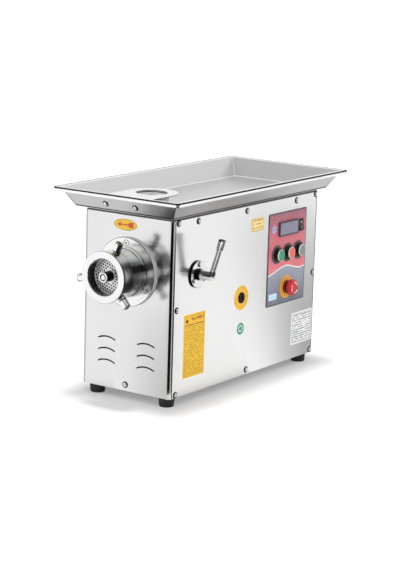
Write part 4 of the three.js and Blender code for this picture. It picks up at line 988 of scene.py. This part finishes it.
clamp = dict(
    flange=33, thickness=5, boss=13.5, bore=10.95, screwCircle=24, screwAngles=(90, 210, 330),
    screw=9, spindle=10.75, arm=7, armLength=66, gripRadius=9.5, gripLength=26, lean=15, turn=5,
    screwEnd=span("clamp_lever")[0].x, elbow=170,
)
onClamp = alongX(clampAxis.y, clampAxis.z)
flange, boss, bossEnd = clamp["flange"], clamp["boss"], span("clamp_flange")[1].x
base, flangeFace = panelFace, panelFace + clamp["thickness"]
flangeProfile = [
    (flange, base), (flange, flangeFace - 0.7), (flange - 0.7, flangeFace), (boss + 0.8, flangeFace),
    (boss, flangeFace + 0.8), (boss, bossEnd - 0.8), (boss - 0.8, bossEnd), (clamp["bore"], bossEnd),
    (clamp["bore"], base),
]
clampMiddle = (clampAxis.y, clampAxis.z)
# painted dark reflections on the flange's rim and the boss's side
clampSteel = turnedSteel(
    "clamp steel", grey(232), 0.12, "x", clampMiddle,
    [((flange - 0.9, 99), (0, 999), 24), ((boss - 1.2, boss + 1.4), (0, 999), 26)],
)
Shape().turned(flangeProfile, onClamp, 96, closed=True).piece(
    "clampFlange", clampSteel, nodes=["clamp_flange"], slot="polished_steel"
)

lean, turn = math.radians(clamp["lean"]), math.radians(clamp["turn"])
armWay = Vector((math.sin(lean), math.cos(lean) * math.sin(turn), math.cos(lean) * math.cos(turn)))
elbow = Vector((clamp["elbow"], clampAxis.y, clampAxis.z))
screwEnd, screwRadius, spindleRadius = clamp["screwEnd"], clamp["screw"], clamp["spindle"]
spindleProfile = [
    (0, screwEnd), (screwRadius - 1, screwEnd), (screwRadius, screwEnd + 1), (screwRadius, 120.5),
    (spindleRadius, 121.5), (spindleRadius, elbow.x),
]
spindleProfile += [(u, elbow.x + v) for u, v in arc(spindleRadius, 8, 90, 10)]
spindle = Shape().turned(spindleProfile, onClamp, 64)
onArm = alongLine(elbow, armWay)
arm, armEnd = clamp["arm"], clamp["armLength"] + 2
armProfile = [(0, 3), (arm + 0.5, 3), (arm, 16), (arm - 0.4, armEnd), (0, armEnd)]
spindle.combined(Shape().turned(armProfile, onArm, 48), "UNION")
# painted reflections: a dark line at the spindle's step, a dark top and bottom line, and a lighter, less
# metallic lower half and arm as painted highlight
leverSteel = turnedSteel(
    "lever steel", polished, 0.12, "x", clampMiddle,
    [
        ((spindleRadius - 0.6, spindleRadius + 0.4), (0, 122.6), 30),
        ((13, 99), (elbow.x - 10, 999), 250, 0.86),
    ],
    [(1, 13, 110), (-10, 1, 250, 0.3), (-12, -9.6, 20)],
)
start, end = clamp["armLength"], clamp["armLength"] + clamp["gripLength"]
# painted highlight: the knob lighter and less metallic, with a painted dark end
gripSteel = turnedSteel(
    "lever knob steel", polished, 0.12, "x", clampMiddle,
    [((0, 999), (0, 999), 250, 0.86), ((end * math.cos(lean) - 2.4, 999), (0, 999), 40)],
)
spindle.piece("clampLever", leverSteel, "clamp_lever", ["clamp_lever"], "polished_steel")
radius = clamp["gripRadius"]
gripEnd = [
    (0, start + 0.2), (radius - 2.4, start + 0.2), (radius - 0.6, start + 1.8), (radius, start + 3),
    (radius, end - 1.8), (radius - 0.6, end - 0.6), (radius - 1.8, end), (radius - 3.4, end),
    (radius - 4, end - 0.6), (0, end - 0.6),
]
Shape().turned(gripEnd, onArm, 48).piece(
    "clampKnob", gripSteel, "clamp_lever", ["clamp_knob"], "polished_steel"
)


# Domed screws

screw = dict(radius=5.6, socket=3.2, socketDepth=1.8, washer=7.9, washerHeight=0.9)
# a dark ring under each screw stands for painted shade round its dome
shadeRings = Shape()


def domedScrew(shape, place, radius=screw["radius"]):
    size = radius / screw["radius"]
    shadeRings.plate([circle(screw["washer"] * size, 36)], place, -0.1, screw["washerHeight"] * size, 0.2, 1)
    dome = [
        (5.6, -0.4), (5.6, 0.7), (5.45, 1.4), (5.05, 2.2), (4.45, 2.85), (3.7, 3.3), (2.9, 3.5),
    ]
    steps, rows = 36, []
    for r, w in dome:
        rows.append(shape.row([(u, v, w * size) for u, v in circle(r * size, steps)], place))
    for depth in (3.4, 3.4 - screw["socketDepth"]):
        points = []
        for i in range(steps):
            turn = 360 * i / steps
            r = screw["socket"] / 2 / math.cos(math.radians(turn % 60 - 30)) * size
            points.append((*onCircle(r, turn), depth * size))
        rows.append(shape.row(points, place))
    shape.skin(rows)
    shape.cap(rows[-1])
    shape.cap(rows[0])


sideScrews = [
    (20, 418), (100, 414), (307, 413), (534, 413), (626, 418), (20.5, 212), (626, 213.5), (22.6, 7.5),
    (325, 11.5), (626, 8),
]


def screwSet(name, places, radius=screw["radius"]):
    shape = Shape()
    for place in places:
        domedScrew(shape, place, radius)
    shape.piece(name, finishes["screw_steel"], slot="polished_steel")


def onLeft(y, z):
    return frameOf((0, 1, 0), (0, 0, 1), (-1, 0, 0), (span("left_panel")[0].x, y, z))


def onRear(x, z):
    return frameOf((1, 0, 0), (0, 0, 1), (0, 1, 0), (x, cabinetLength, z))


def onTrayFront(x, up):
    at = Vector((x, footFront - up * tray["splay"] / trayRise, trayLow.z + up))
    return alongLine(at, Vector((0, -trayRise, -tray["splay"])))


def onClampFlange(angle):
    return alongX(*onCircle(clamp["screwCircle"], angle, clampMiddle), flangeFace)


screwSet("rightScrews", [alongX(y, z, panelFace) for y, z in sideScrews])
screwSet("leftScrews", [onLeft(y, z) for y, z in sideScrews])
screwSet("frontScrew", [frameOf((1, 0, 0), (0, 0, 1), (0, -1, 0), (0, 0, 15))])
rearColumns, rearHeights = (-cabinetHalf + 22, 0, cabinetHalf - 22), (15, cabinetHeight - 15)
screwSet("rearScrews", [onRear(x, z) for x in rearColumns for z in rearHeights])
screwSet("trayScrews", [onTrayFront(x, 18) for x in (-46, 41)])
screwSet("clampScrews", [onClampFlange(angle) for angle in clamp["screwAngles"]], 4.6)
shadeRings.piece("screwWashers", finishes["gap"], slot="dark_steel")
print("clamp and screws made")


# Control panel

controlLow, controlHigh = span("control_plate")
controls = dict(
    cornerRadius=5, border=3.2, print=0.2, waveLine=3.2,
    # the wave's points, from the lower left corner
    wave=((0, 80), (23, 84), (60, 94), (90, 97), (120, 90), (148, 84), (176, 86)),
)
face = controlHigh.x
Shape().plate(
    [roundedBox(controlLow.y, controlHigh.y, controlLow.z, controlHigh.z, controls["cornerRadius"])],
    alongX(0, 0), controlLow.x, face - controls["print"], 0.3,
).piece("controlBorder", finishes["panel_overlay"], nodes=["control_plate"], slot="panel_overlay")

inset = controls["border"]
left, right = controlLow.y + inset, controlHigh.y - inset
low, high = controlLow.z + inset, controlHigh.z - inset


def waveHeight(y):
    # a smooth curve through the wave's points
    points = [(controlLow.y + u, controlLow.z + v) for u, v in controls["wave"]]
    points = [(2 * points[0][0] - points[1][0], points[0][1])] + points
    points.append((2 * points[-1][0] - points[-2][0], points[-1][1]))
    for (a, p), (b, q), (c, r), (d, s) in zip(points, points[1:], points[2:], points[3:]):
        if y <= c:
            t = (y - b) / (c - b)
            start, end = (r - p) / (c - a) * (c - b), (s - q) / (d - b) * (c - b)
            return (
                q * (2 * t ** 3 - 3 * t ** 2 + 1) + start * (t ** 3 - 2 * t ** 2 + t)
                + r * (3 * t ** 2 - 2 * t ** 3) + end * (t ** 3 - t ** 2)
            )
    return points[-1][1]


ticks = [left + (right - left) * i / 48 for i in range(49)]
crest = [(y, waveHeight(y)) for y in ticks]
half = controls["waveLine"] / 2


def field(name, finish, lowerEdge, upperEdge):
    outline = lowerEdge + upperEdge[::-1]
    Shape().plate([outline], alongX(0, 0), face - controls["print"], face).piece(
        name, finish, slot="panel_overlay"
    )


overlayRed = [
    (0.0, tone(232, 106, 116)), (0.45, tone(216, 92, 106)), (0.8, tone(186, 78, 96)),
    (1.0, tone(150, 70, 92)),
]
overlayGrey = [(0.0, tone(88, 92, 108)), (0.5, tone(128, 134, 150)), (1.0, tone(150, 158, 174))]
redFinish = gradient("overlay red", 236, high, overlayRed)
greyFinish = gradient("overlay grey", low, 250, overlayGrey)
field("redField", redFinish, [(y, z + half) for y, z in crest], [(left, high), (right, high)])
field("greyField", greyFinish, [(left, low), (right, low)], [(y, z - half) for y, z in crest])
field(
    "waveLine", finishes["white_print"], [(y, z - half) for y, z in crest],
    [(y, z + half) for y, z in crest]
)

displayLow, displayHigh = span("display_housing")
housing = [roundedBox(displayLow.y, displayHigh.y, displayLow.z, displayHigh.z, 2.5)]
window = [roundedBox(displayLow.y + 3, displayHigh.y - 3, displayLow.z + 3, displayHigh.z - 3, 1.5)]
shape = Shape().plate(housing + window, alongX(0, 0), face, displayHigh.x, 0.8)
shape.plate(
    [roundedBox(displayLow.y + 1, displayHigh.y - 1, displayLow.z + 1, displayHigh.z - 1, 2)],
    alongX(0, 0), displayLow.x, face + 2
)
shape.piece("displayHousing", finishes["grey_plastic"], nodes=["display_housing"], slot="grey_plastic")
Shape().plate(window, alongX(0, 0), face + 2, displayHigh.x - 0.8, 0.3).piece(
    "displayWindow", finishes["dark_glass"], slot="grey_plastic"
)

# a plain snowflake: six arms with one pair of twigs each
snow = dict(y=432, z=350, arm=11.5, width=2.6, twig=4.2, twigAt=6.6)
shape = Shape()
for i in range(6):
    way = 60 * i + 30
    tipPoint = onCircle(snow["arm"], way, (snow["y"], snow["z"]))
    shape.plate([band([(snow["y"], snow["z"]), tipPoint], snow["width"])], alongX(0, 0), face, face + 0.12)
    fork = onCircle(snow["twigAt"], way, (snow["y"], snow["z"]))
    for side in (-45, 45):
        twig = band([fork, onCircle(snow["twig"], way + side, fork)], snow["width"] * 0.8)
        shape.plate([twig], alongX(0, 0), face, face + 0.14)
snowBlue = moulded("snowflake print", tone(150, 206, 246), 0.35)
shape.piece("snowflake", snowBlue, slot="panel_overlay")

frameLow, frameHigh = span("switch_frame")
rocker = dict(
    halfWidth=10, halfHeight=12.8, crown=4.6, tilt=11, depth=4, room=0.6,
    y=centre("switch_frame").y, z=centre("switch_frame").z,
)
halfWidth, halfHeight, crown = rocker["halfWidth"], rocker["halfHeight"], rocker["crown"]
wellWidth, wellHeight = halfWidth + rocker["room"], halfHeight + rocker["room"]
well = roundedBox(
    rocker["y"] - wellWidth, rocker["y"] + wellWidth, rocker["z"] - wellHeight, rocker["z"] + wellHeight,
    0.8
)
wellFloor = 116
rimOutline = roundedBox(frameLow.y, frameHigh.y, frameLow.z, frameHigh.z, 2)
shape = Shape().plate([rimOutline, well], alongX(0, 0), face, frameHigh.x, 0.5)
inner = roundedBox(frameLow.y + 0.8, frameHigh.y - 0.8, frameLow.z + 1, frameHigh.z - 1, 1)
shape.plate([inner, well], alongX(0, 0), wellFloor, face)
shape.plate([inner], alongX(0, 0), frameLow.x, wellFloor)
shape.piece("switchFrame", finishes["black_plastic"], nodes=["switch_frame"], slot="black_plastic")

tilt = math.radians(rocker["tilt"])
rockerPlace = frameOf(
    (-math.sin(tilt), 0, math.cos(tilt)), (math.cos(tilt), 0, math.sin(tilt)), (0, 1, 0),
    (panelFace, rocker["y"], rocker["z"]),
)
endUp = halfHeight - 1
rise = endUp * math.tan(tilt)
valley = [(endUp * (1 - i / 6), crown + rise * (1 - i / 6) ** 1.15) for i in range(7)]
outline = [(-7.6, -rocker["depth"]), (7.6, -rocker["depth"]), (halfHeight, 0)] + valley
outline += [(-u, v) for u, v in valley[-2::-1]] + [(-halfHeight, 0)]
Shape().plate([outline], rockerPlace, -halfWidth, halfWidth, 0.5).piece(
    "switchRocker", finishes["black_plastic"], "switch_rocker", ["switch_rocker"], "black_plastic"
)
# a stroke and a ring on the rocker's two faces
shape = Shape()
slopeUp = math.atan2(rise, endUp)
for side in (1, -1):
    middle = rockerPlace @ Vector((side * endUp * 0.55, crown + rise * 0.5, 0))
    out = rockerPlace.to_3x3() @ Vector((-side * math.sin(slopeUp), math.cos(slopeUp), 0))
    place = frameOf(Vector((0, 1, 0)), out.cross(Vector((0, 1, 0))), out, middle)
    if side > 0:
        shape.plate([ellipse(3, 2, 32), ellipse(2.3, 1.3, 32)], place, -0.2, 0.25)
    else:
        shape.plate([roundedBox(-0.4, 0.4, -2, 2, 0.35)], place, -0.2, 0.25)
shape.piece("rockerMarks", finishes["white_print"], "switch_rocker", slot="black_plastic")

button = dict(
    base=23.5, collar=18, bezel=15, bore=13.1, cap=12.8, hole=11,
    baseHigh=2.5,
    pocket=3.2,         # how high the pocket's floor is above the plate
    travel=4.2,         # room under the cap
)


def pushButton(name, capFinish):
    base, collar, bezel, bore, cap, hole = (
        button[size] for size in ("base", "collar", "bezel", "bore", "cap", "hole")
    )
    middle, back = centre(f"{name}_collar"), span(f"{name}_collar")[0].x
    place, baseTop, bottom = alongX(middle.y, middle.z), face + button["baseHigh"], face + button["pocket"]
    baseProfile = [
        (hole, face), (base, face), (base, face + 1.6), (base - 0.9, baseTop), (collar - 1, baseTop),
        (hole, baseTop),
    ]
    Shape().turned(baseProfile, place, 64, closed=True).piece(
        f"{name}BaseRing", finishes["base_ring_plastic"], slot="grey_plastic"
    )
    collarProfile = [
        (0, back), (hole - 0.2, back), (hole - 0.2, baseTop), (collar, baseTop),
        (collar, face + 7.8), (collar - 1.2, face + 9), (bezel + 0.2, face + 9),
        (bezel + 0.2, face + 12.6), (bore, face + 12.6), (bore, bottom), (0, bottom),
    ]
    Shape().turned(collarProfile, place, 64).piece(
        f"{name}Collar", finishes["black_plastic"], nodes=[f"{name}_collar"], slot="black_plastic"
    )
    bezelProfile = [
        (bore, face + 12.4), (bezel, face + 12.4), (bezel, face + 13.8), (bezel - 0.5, face + 14.7),
        (bezel - 1, face + 15), (bore + 0.3, face + 15), (bore, face + 14.7),
    ]
    Shape().turned(bezelProfile, place, 64, closed=True).piece(
        f"{name}Bezel", finishes["bezel_plastic"], slot="grey_plastic"
    )
    low, top = bottom + button["travel"], span(f"{name}_button")[1].x
    capProfile = [
        (0, low), (cap, low), (cap, top - 1), (cap - 0.3, top - 0.3), (cap - 1, top),
        (cap - 2.2, top - 0.1), (cap - 3.5, top - 0.6), (0, top - 0.9),
    ]
    Shape().turned(capProfile, place, 64).piece(
        f"{name}Cap", finishes[capFinish], f"{name}_button", [f"{name}_button"], capFinish
    )


pushButton("start", "green_plastic")
pushButton("stop", "red_plastic")
pushButton("reverse", "pale_grey_plastic")

stop = centre("emergency_head")
onStop = alongX(stop.y, stop.z)
stopBase, stopTip = span("emergency_collar"), span("emergency_head")[1].x
emergency = dict(
    ring=29.5, marks=(21.5, 25), collar=17, stem=7, bore=7.3, head=21, waist=19, crown=15.5, arrow=13
)
ring, collar, bore, waist = (emergency[size] for size in ("ring", "collar", "bore", "waist"))
ringTop = face + 1
ringProfile = [(11, face), (ring, face), (ring, face + 0.7), (ring - 0.3, ringTop), (11, ringTop)]
ringFinish = Finish("emergency ring print", {})
spoke = ringFinish.away(stop.y, stop.z)
marks = ringFinish.grain(2.6, 0) > 0.56
printed = marks * spoke.between(*emergency["marks"])
ringFinish.set("Base Color", ringFinish.blend(printed * 0.75, tone(244, 172, 40), tone(150, 84, 30)))
ringFinish.set("Roughness", ringFinish.grain(1.5, 2) * 0.1 + 0.3)
Shape().turned(ringProfile, onStop, 72, closed=True).piece(
    "emergencyRing", ringFinish.material, slot="panel_overlay"
)
back, collarTop = stopBase[0].x, stopBase[1].x
collarProfile = [
    (bore, back), (10.8, back), (10.8, ringTop), (collar, ringTop), (collar, collarTop - 1.5),
    (collar - 1.5, collarTop), (bore, collarTop),
]
Shape().turned(collarProfile, onStop, 64, closed=True).piece(
    "emergencyCollar", finishes["collar_plastic"], nodes=["emergency_collar"], slot="black_plastic"
)
stemLow, stemHigh = span("emergency_stem")
radius, back, front = emergency["stem"], stemLow.x, stemHigh.x
stemProfile = [
    (0, back), (radius - 0.6, back), (radius, back + 0.6), (radius, front - 0.6), (radius - 0.6, front),
    (0, front),
]
Shape().turned(stemProfile, onStop, 48).piece(
    "emergencyStem", finishes["black_plastic"], "emergency_stem", ["emergency_stem"], "black_plastic"
)
headBack = span("emergency_head")[0].x
socketEnd, shoulder = headBack + 7.3, headBack + 12
headProfile = softened(
    [
        (7.3, socketEnd), (7.3, headBack), (waist, headBack), (emergency["head"], headBack + 3),
        (emergency["head"], headBack + 8), (waist, shoulder), (emergency["crown"], stopTip), (0, stopTip),
    ],
    2.2, 5,
)
headProfile = [(0, socketEnd)] + headProfile
Shape().turned(headProfile, onStop, 72).piece(
    "emergencyHead", finishes["mushroom_plastic"], "emergency_head", ["emergency_head"], "red_plastic"
)
# three curved marks that follow the crown, each ending in a point
shape = Shape()
slopeOut = (stopTip - shoulder) / (waist - emergency["crown"])
for start in (20, 140, 260):
    rows = []
    for i in range(17):
        half = 0.8 if i < 11 else 1.9 * (16.2 - i) / 5.2
        points = []
        near, far = emergency["arrow"] - half, emergency["arrow"] + half
        for r, lift in ((near, 0.25), (far, 0.25), (far, -0.3), (near, -0.3)):
            height = min(shoulder + (waist - r) * slopeOut, stopTip)
            points.append((*onCircle(r, start + 5 * i), height + lift))
        rows.append(shape.row(points, onStop))
    shape.skin(rows)
    shape.cap(rows[0])
    shape.cap(rows[-1])
shape.piece("emergencyMarks", finishes["white_print"], "emergency_head", slot="red_plastic")
print("controls made")


# Stickers, with plain marks

stickerThickness = 0.2


def sideSticker(name, outlines, finish, lift=0.0):
    Shape().plate(outlines, alongX(0, 0), panelFace - 0.02, panelFace + stickerThickness + lift).piece(
        name, finish, slot="panel_overlay"
    )


# arrow on the front: which way the nut turns
arrow = dict(x=-9, z=401, halfWidth=34, halfHeight=13.5)
frontSide = frameOf((1, 0, 0), (0, 0, 1), (0, -1, 0), (arrow["x"], 0, arrow["z"]))
arrowYellow = moulded("arrow sticker", tone(252, 206, 60), 0.4)
arrowRed = moulded("arrow print", tone(224, 84, 52), 0.4)
arrowRim = moulded("arrow sticker rim", tone(172, 140, 70), 0.4)
Shape().plate([ellipse(arrow["halfWidth"], arrow["halfHeight"])], frontSide, -0.02, 0.15).piece(
    "arrowSticker", arrowRim, slot="panel_overlay"
)
Shape().plate([ellipse(arrow["halfWidth"] - 1.2, arrow["halfHeight"] - 1.2)], frontSide, 0.1, 0.22).piece(
    "arrowField", arrowYellow, slot="panel_overlay"
)
arrowShape = [
    (-25, 0), (-13, 6), (-13, 1.6), (8, 1.6), (11, 6), (25, 6), (22, 0), (25, -6), (11, -6), (8, -1.6),
    (-13, -1.6), (-13, -6),
]
Shape().plate([arrowShape], frontSide, 0.15, 0.3).piece("arrowMark", arrowRed, slot="panel_overlay")

yellowLabel = (51, 139, 40, 194)
sideSticker(
    "ruledYellowLabel", [roundedBox(*yellowLabel, 1)],
    ruledLabel(
        "ruled yellow label", tone(250, 200, 14), tone(150, 98, 20), yellowLabel, 4.2,
        (26, tone(250, 188, 20)), 0.44, 5,
    ),
)
sideSticker("labelDot", [circle(4.6, 40, (64, 178))], moulded("label dot", tone(60, 46, 20), 0.4), 0.12)

plug = dict(y=293.5, z=199, ring=31, bore=14.5, radius=14, slotWidth=5)
plugYellow = Finish("plug ring print", {})
spoke = plugYellow.away(plug["y"], plug["z"])
specks = (plugYellow.grain(3, 0) > 0.58) * spoke.between(22.5, 27)
plugYellow.set("Base Color", plugYellow.blend(specks * 0.8, tone(248, 190, 32), tone(140, 96, 24)))
plugYellow.set("Roughness", plugYellow.grain(2, 2) * 0.1 + 0.35)
sideSticker(
    "plugSticker",
    [circle(plug["ring"], 72, (plug["y"], plug["z"])), circle(plug["bore"], 48, (plug["y"], plug["z"]))],
    plugYellow.material,
)
onPlug = alongX(plug["y"], plug["z"], panelFace)
plugProfile = softened(
    [(0, -0.5), (plug["radius"], -0.5), (plug["radius"], 1.6), (plug["radius"] - 3, 2.6), (0, 2.6)], 0.8
)
slotCut = Shape().plate(
    [roundedBox(-plug["slotWidth"] / 2, plug["slotWidth"] / 2, -9, 9, 2.4)], onPlug, 0.6, 4
)
Shape().turned(plugProfile, onPlug, 64).combined(slotCut).piece(
    "accessPlug", finishes["plug_plastic"], slot="black_plastic"
)

green = moulded("green sticker", tone(24, 152, 118), 0.4)
disc = dict(middle=(294, 121), radius=15, ring=9, ringBore=6.4)
sideSticker("greenSticker", [circle(disc["radius"], 56, disc["middle"])], green)
ring = [circle(disc[size], 48, disc["middle"]) for size in ("ring", "ringBore")]
sideSticker("greenStickerRing", ring, finishes["white_print"], 0.12)

note = (329, 384, 357, 390)
noteRim = moulded("note sticker rim", tone(214, 178, 92), 0.4)
sideSticker("noteSticker", [roundedBox(*note, 1)], noteRim)
inner = (note[0] + 1.6, note[1] - 1.6, note[2] + 1.6, note[3] - 1.6)
sideSticker(
    "noteField", [roundedBox(*inner, 0.6)],
    ruledLabel("note sticker", tone(252, 222, 140), tone(140, 120, 80), inner, 9, None, 0.3, 6), 0.1,
)

plateLabel = (531, 631, 35, 119)
sideSticker(
    "ruledWhiteLabel", [roundedBox(*plateLabel, 0.8)],
    ruledLabel("ruled white label", tone(246, 246, 246), tone(84, 86, 90), plateLabel, 6.2, None, 0.42, 7),
)

smallBlue = (416, 453, 170, 186)
Shape().plate([roundedBox(*smallBlue, 0.6)], alongX(0, 0), face - 0.02, face + 0.15).piece(
    "smallBlueLabel",
    ruledLabel("small blue label", tone(176, 220, 240), tone(240, 248, 252), smallBlue, 8, None, 0.34, 4),
    slot="panel_overlay",
)
print("stickers made")


# Finishes on the CAD nodes that stay

ownFinish = {"right_panel": "side_steel", "left_panel": "side_steel", "knife": "bright_steel"}
for name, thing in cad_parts.items():
    for holder in thing.material_slots:
        slotName = holder.material.name.split(".")[0]
        holder.material = finishes[ownFinish.get(name, slotName)]


# Camera, floor, light

view = dict(
    azimuth=34.47, elevation=11.816, roll=1.724, distance=4.632, target=(-0.0028, -0.009, 0.2376),
    lens=117.7
)


def setCamera():
    azimuth, elevation, roll = (math.radians(view[key]) for key in ("azimuth", "elevation", "roll"))
    flat = math.cos(elevation)
    forward = Vector((-math.sin(azimuth) * flat, math.cos(azimuth) * flat, -math.sin(elevation)))
    right = Vector((math.cos(azimuth), math.sin(azimuth), 0))
    up = right.cross(forward)
    across = right * math.cos(roll) + up * math.sin(roll)
    lens = bpy.data.cameras.new("camera")
    lens.lens, lens.clip_end = view["lens"], 100
    holder = bpy.data.objects.new("camera", lens)
    place = Vector(view["target"]) - forward * view["distance"]
    holder.matrix_world = frameOf(across, (-forward).cross(across), -forward, place)
    bpy.context.scene.collection.objects.link(holder)
    bpy.context.scene.camera = holder


def seenWhite(tree):
    # 1 for rays that should find a white studio: from the camera, mirrored or let through
    path = tree.node("LightPath").socket.node.outputs
    seen = [Link(tree, path[name]) for name in ("Is Camera Ray", "Is Glossy Ray", "Is Transmission Ray")]
    return seen[0].math("MAXIMUM", seen[1]).math("MAXIMUM", seen[2])


studio = dict(
    ambient=0.56,
    floorShade=0.6,
    floorLift=0.23,
    boardLift=0.004,     # how high the floor boards are
    shadeLift=0.005,
    sideShadeEnd=0.6,
    # lamps: strength, softness in degrees, and the way the light goes
    lamps=dict(
        topLamp=(2.7, 11, (0.01, 0, -1)),
        frontLamp=(1.45, 60, (-0.62, 0.66, -0.62)),
    ),
    # standing boards around the front right corner, seen only in reflections:
    # azimuths from the front towards the right, heights, distance, shade
    boards=dict(
        lowNearBoard=((8, 116), (0.0, 1.15), 2.2, 0.11),
        highNearBoard=((8, 37), (1.15, 1.85), 2.2, 0.01),
        highRightBoard=((50, 116), (1.15, 3.4), 2.2, 0.01),
        rightRearBoard=((118, 195), (0.1, 2.2), 3.4, 0.9),
        leftRearBoard=((195, 275), (0.1, 2.2), 3.4, 0.93),
        cornerBoard=((-39, 72), (0.02, 0.44), 0.06, 0.005),
        cornerStrip=((72, 108), (0.02, 0.44), 0.06, 0.6),
    ),
    # boards just above the floor: azimuths, nearest and furthest, shade
    floorBoards=dict(
        nearBoard=((-16, 138), 0.13, 1.05, 0.015),
        farBoard=((52, 138), 1.05, 2.2, 0.03),
    ),
    ceiling=dict(height=2.5, half=4, rear=0.1, shade=0.66),
    # floor boards that deepen across the way that a flat panel reflects:
    # azimuth, where it starts, the two places across, reach and the last shade
    shadeBoards=dict(
        sideShade=(145.5, (0.122, 0), (0.05, 0.35), 2.4, 0.42),
        frontShade=(-34.5, (0, -0.3015), (-0.05, 0.12), 1.0, 0.66),
    ),
)


def stagePiece(name, corners, faces, material):
    made = bpy.data.meshes.new(name)
    made.from_pydata(corners, [], faces)
    made.materials.append(material)
    thing = bpy.data.objects.new(name, made)
    bpy.context.scene.collection.objects.link(thing)
    return thing


def setWorld():
    scene = bpy.context.scene
    scene.view_settings.view_transform = "Standard"
    world = bpy.data.worlds.new("studio")
    scene.world = world
    world.use_nodes = True
    tree = Tree(world.node_tree)
    strength = seenWhite(tree) * (1 - studio["ambient"]) + studio["ambient"]
    light = tree.node("Background", None, {"Color": grey(255), "Strength": strength})
    tree.node("OutputWorld", None, {"Surface": light})


def setLamps():
    for name, (strength, softness, way) in studio["lamps"].items():
        lamp = bpy.data.lights.new(name, "SUN")
        lamp.energy, lamp.angle = strength, math.radians(softness)
        holder = bpy.data.objects.new(name, lamp)
        holder.matrix_world = alongLine((0, 0, 3), -Vector(way))
        holder.visible_glossy = False
        bpy.context.scene.collection.objects.link(holder)


def stageMaterial(name, surface):
    material = bpy.data.materials.new(name)
    material.use_nodes = True
    tree = Tree(material.node_tree)
    tree.node("OutputMaterial", None, {"Surface": surface(tree)})
    return material


def setFloor():
    def pale(tree):
        matte = tree.node("BsdfDiffuse", None, {"Color": (studio["floorShade"],) * 3 + (1,)})
        camera = Link(tree, tree.node("LightPath").socket.node.outputs["Is Camera Ray"])
        lift = tree.node("Emission", None, {"Strength": camera * studio["floorLift"]})
        return tree.node("AddShader", None, {0: matte, 1: lift})

    size, low = 30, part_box("foot_front_left")[0].z
    corners = [(-size, -size, low), (size, -size, low), (size, size, low), (-size, size, low)]
    stagePiece("floor", corners, [(0, 1, 2, 3)], stageMaterial("pale floor", pale))


def onlyInReflections(board):
    board.visible_camera = board.visible_diffuse = board.visible_shadow = False
    board.visible_transmission = board.visible_volume_scatter = False


def glow(shade):
    return lambda tree: tree.node("Emission", None, {"Color": (shade,) * 3 + (1,)})


def setBoard(name, azimuths, shade, edges):
    # edges: distance and height of the board's two long edges
    apex = Vector((panelHigh.x, panelLow.y, 0))
    steps, corners = 16, []
    for i in range(steps + 1):
        turn = math.radians(azimuths[0] + (azimuths[1] - azimuths[0]) * i / steps)
        way = Vector((math.sin(turn), -math.cos(turn), 0))
        corners += [apex + way * distance + Vector((0, 0, height)) for distance, height in edges]
    faces = [(i, i + 1, i + 3, i + 2) for i in range(0, 2 * steps, 2)]
    onlyInReflections(stagePiece(name, corners, faces, stageMaterial(name, glow(shade))))


def changing(place, start, end, shades):
    # an even change of shade along a place worked out from x and y
    def surface(tree):
        spot = tree.node("TexCoord", output=3)
        split = tree.node("SeparateXYZ", None, {"Vector": spot}).socket.node.outputs
        values = {
            "Value": place(Link(tree, split[0]), Link(tree, split[1])), "From Min": start, "From Max": end
        }
        share = tree.node("MapRange", {"interpolation_type": "SMOOTHSTEP"}, values)
        return tree.node("Emission", None, {"Strength": share * (shades[1] - shades[0]) + shades[0]})

    return surface


def setShadeBoard(name, azimuth, start, places, reach, shade):
    turn, lift = math.radians(azimuth), studio["shadeLift"]
    way = Vector((math.sin(turn), -math.cos(turn), 0))
    if start[0]:
        ends = [Vector((start[0], place, lift)) for place in (places[0], studio["sideShadeEnd"])]
        surface = changing(lambda x, y: y - (x - start[0]) * (way.y / way.x), *places, (1, shade))
    else:
        ends = [Vector((place, start[1], lift)) for place in places]
        surface = changing(lambda x, y: x - (y - start[1]) * (way.x / way.y), *places, (1, shade))
    corners = [ends[0], ends[0] + way * reach, ends[1] + way * reach, ends[1]]
    onlyInReflections(stagePiece(name, corners, [(0, 1, 2, 3)], stageMaterial(name, surface)))


def setCeiling():
    ceiling = studio["ceiling"]
    half, rear, height = ceiling["half"], ceiling["rear"], ceiling["height"]
    corners = [(-half, -half, height), (half, -half, height), (half, rear, height), (-half, rear, height)]
    material = stageMaterial("ceiling", glow(ceiling["shade"]))
    onlyInReflections(stagePiece("ceiling", corners, [(0, 1, 2, 3)], material))


setCamera()
setWorld()
setLamps()
setFloor()
for name, (azimuths, heights, distance, shade) in studio["boards"].items():
    setBoard(name, azimuths, shade, [(distance, heights[0]), (distance, heights[1])])
for name, (azimuths, near, far, shade) in studio["floorBoards"].items():
    setBoard(name, azimuths, shade, [(near, studio["boardLift"]), (far, studio["boardLift"])])
for name, board in studio["shadeBoards"].items():
    setShadeBoard(name, *board)
setCeiling()
print("studio made")

bpy.context.view_layer.update()
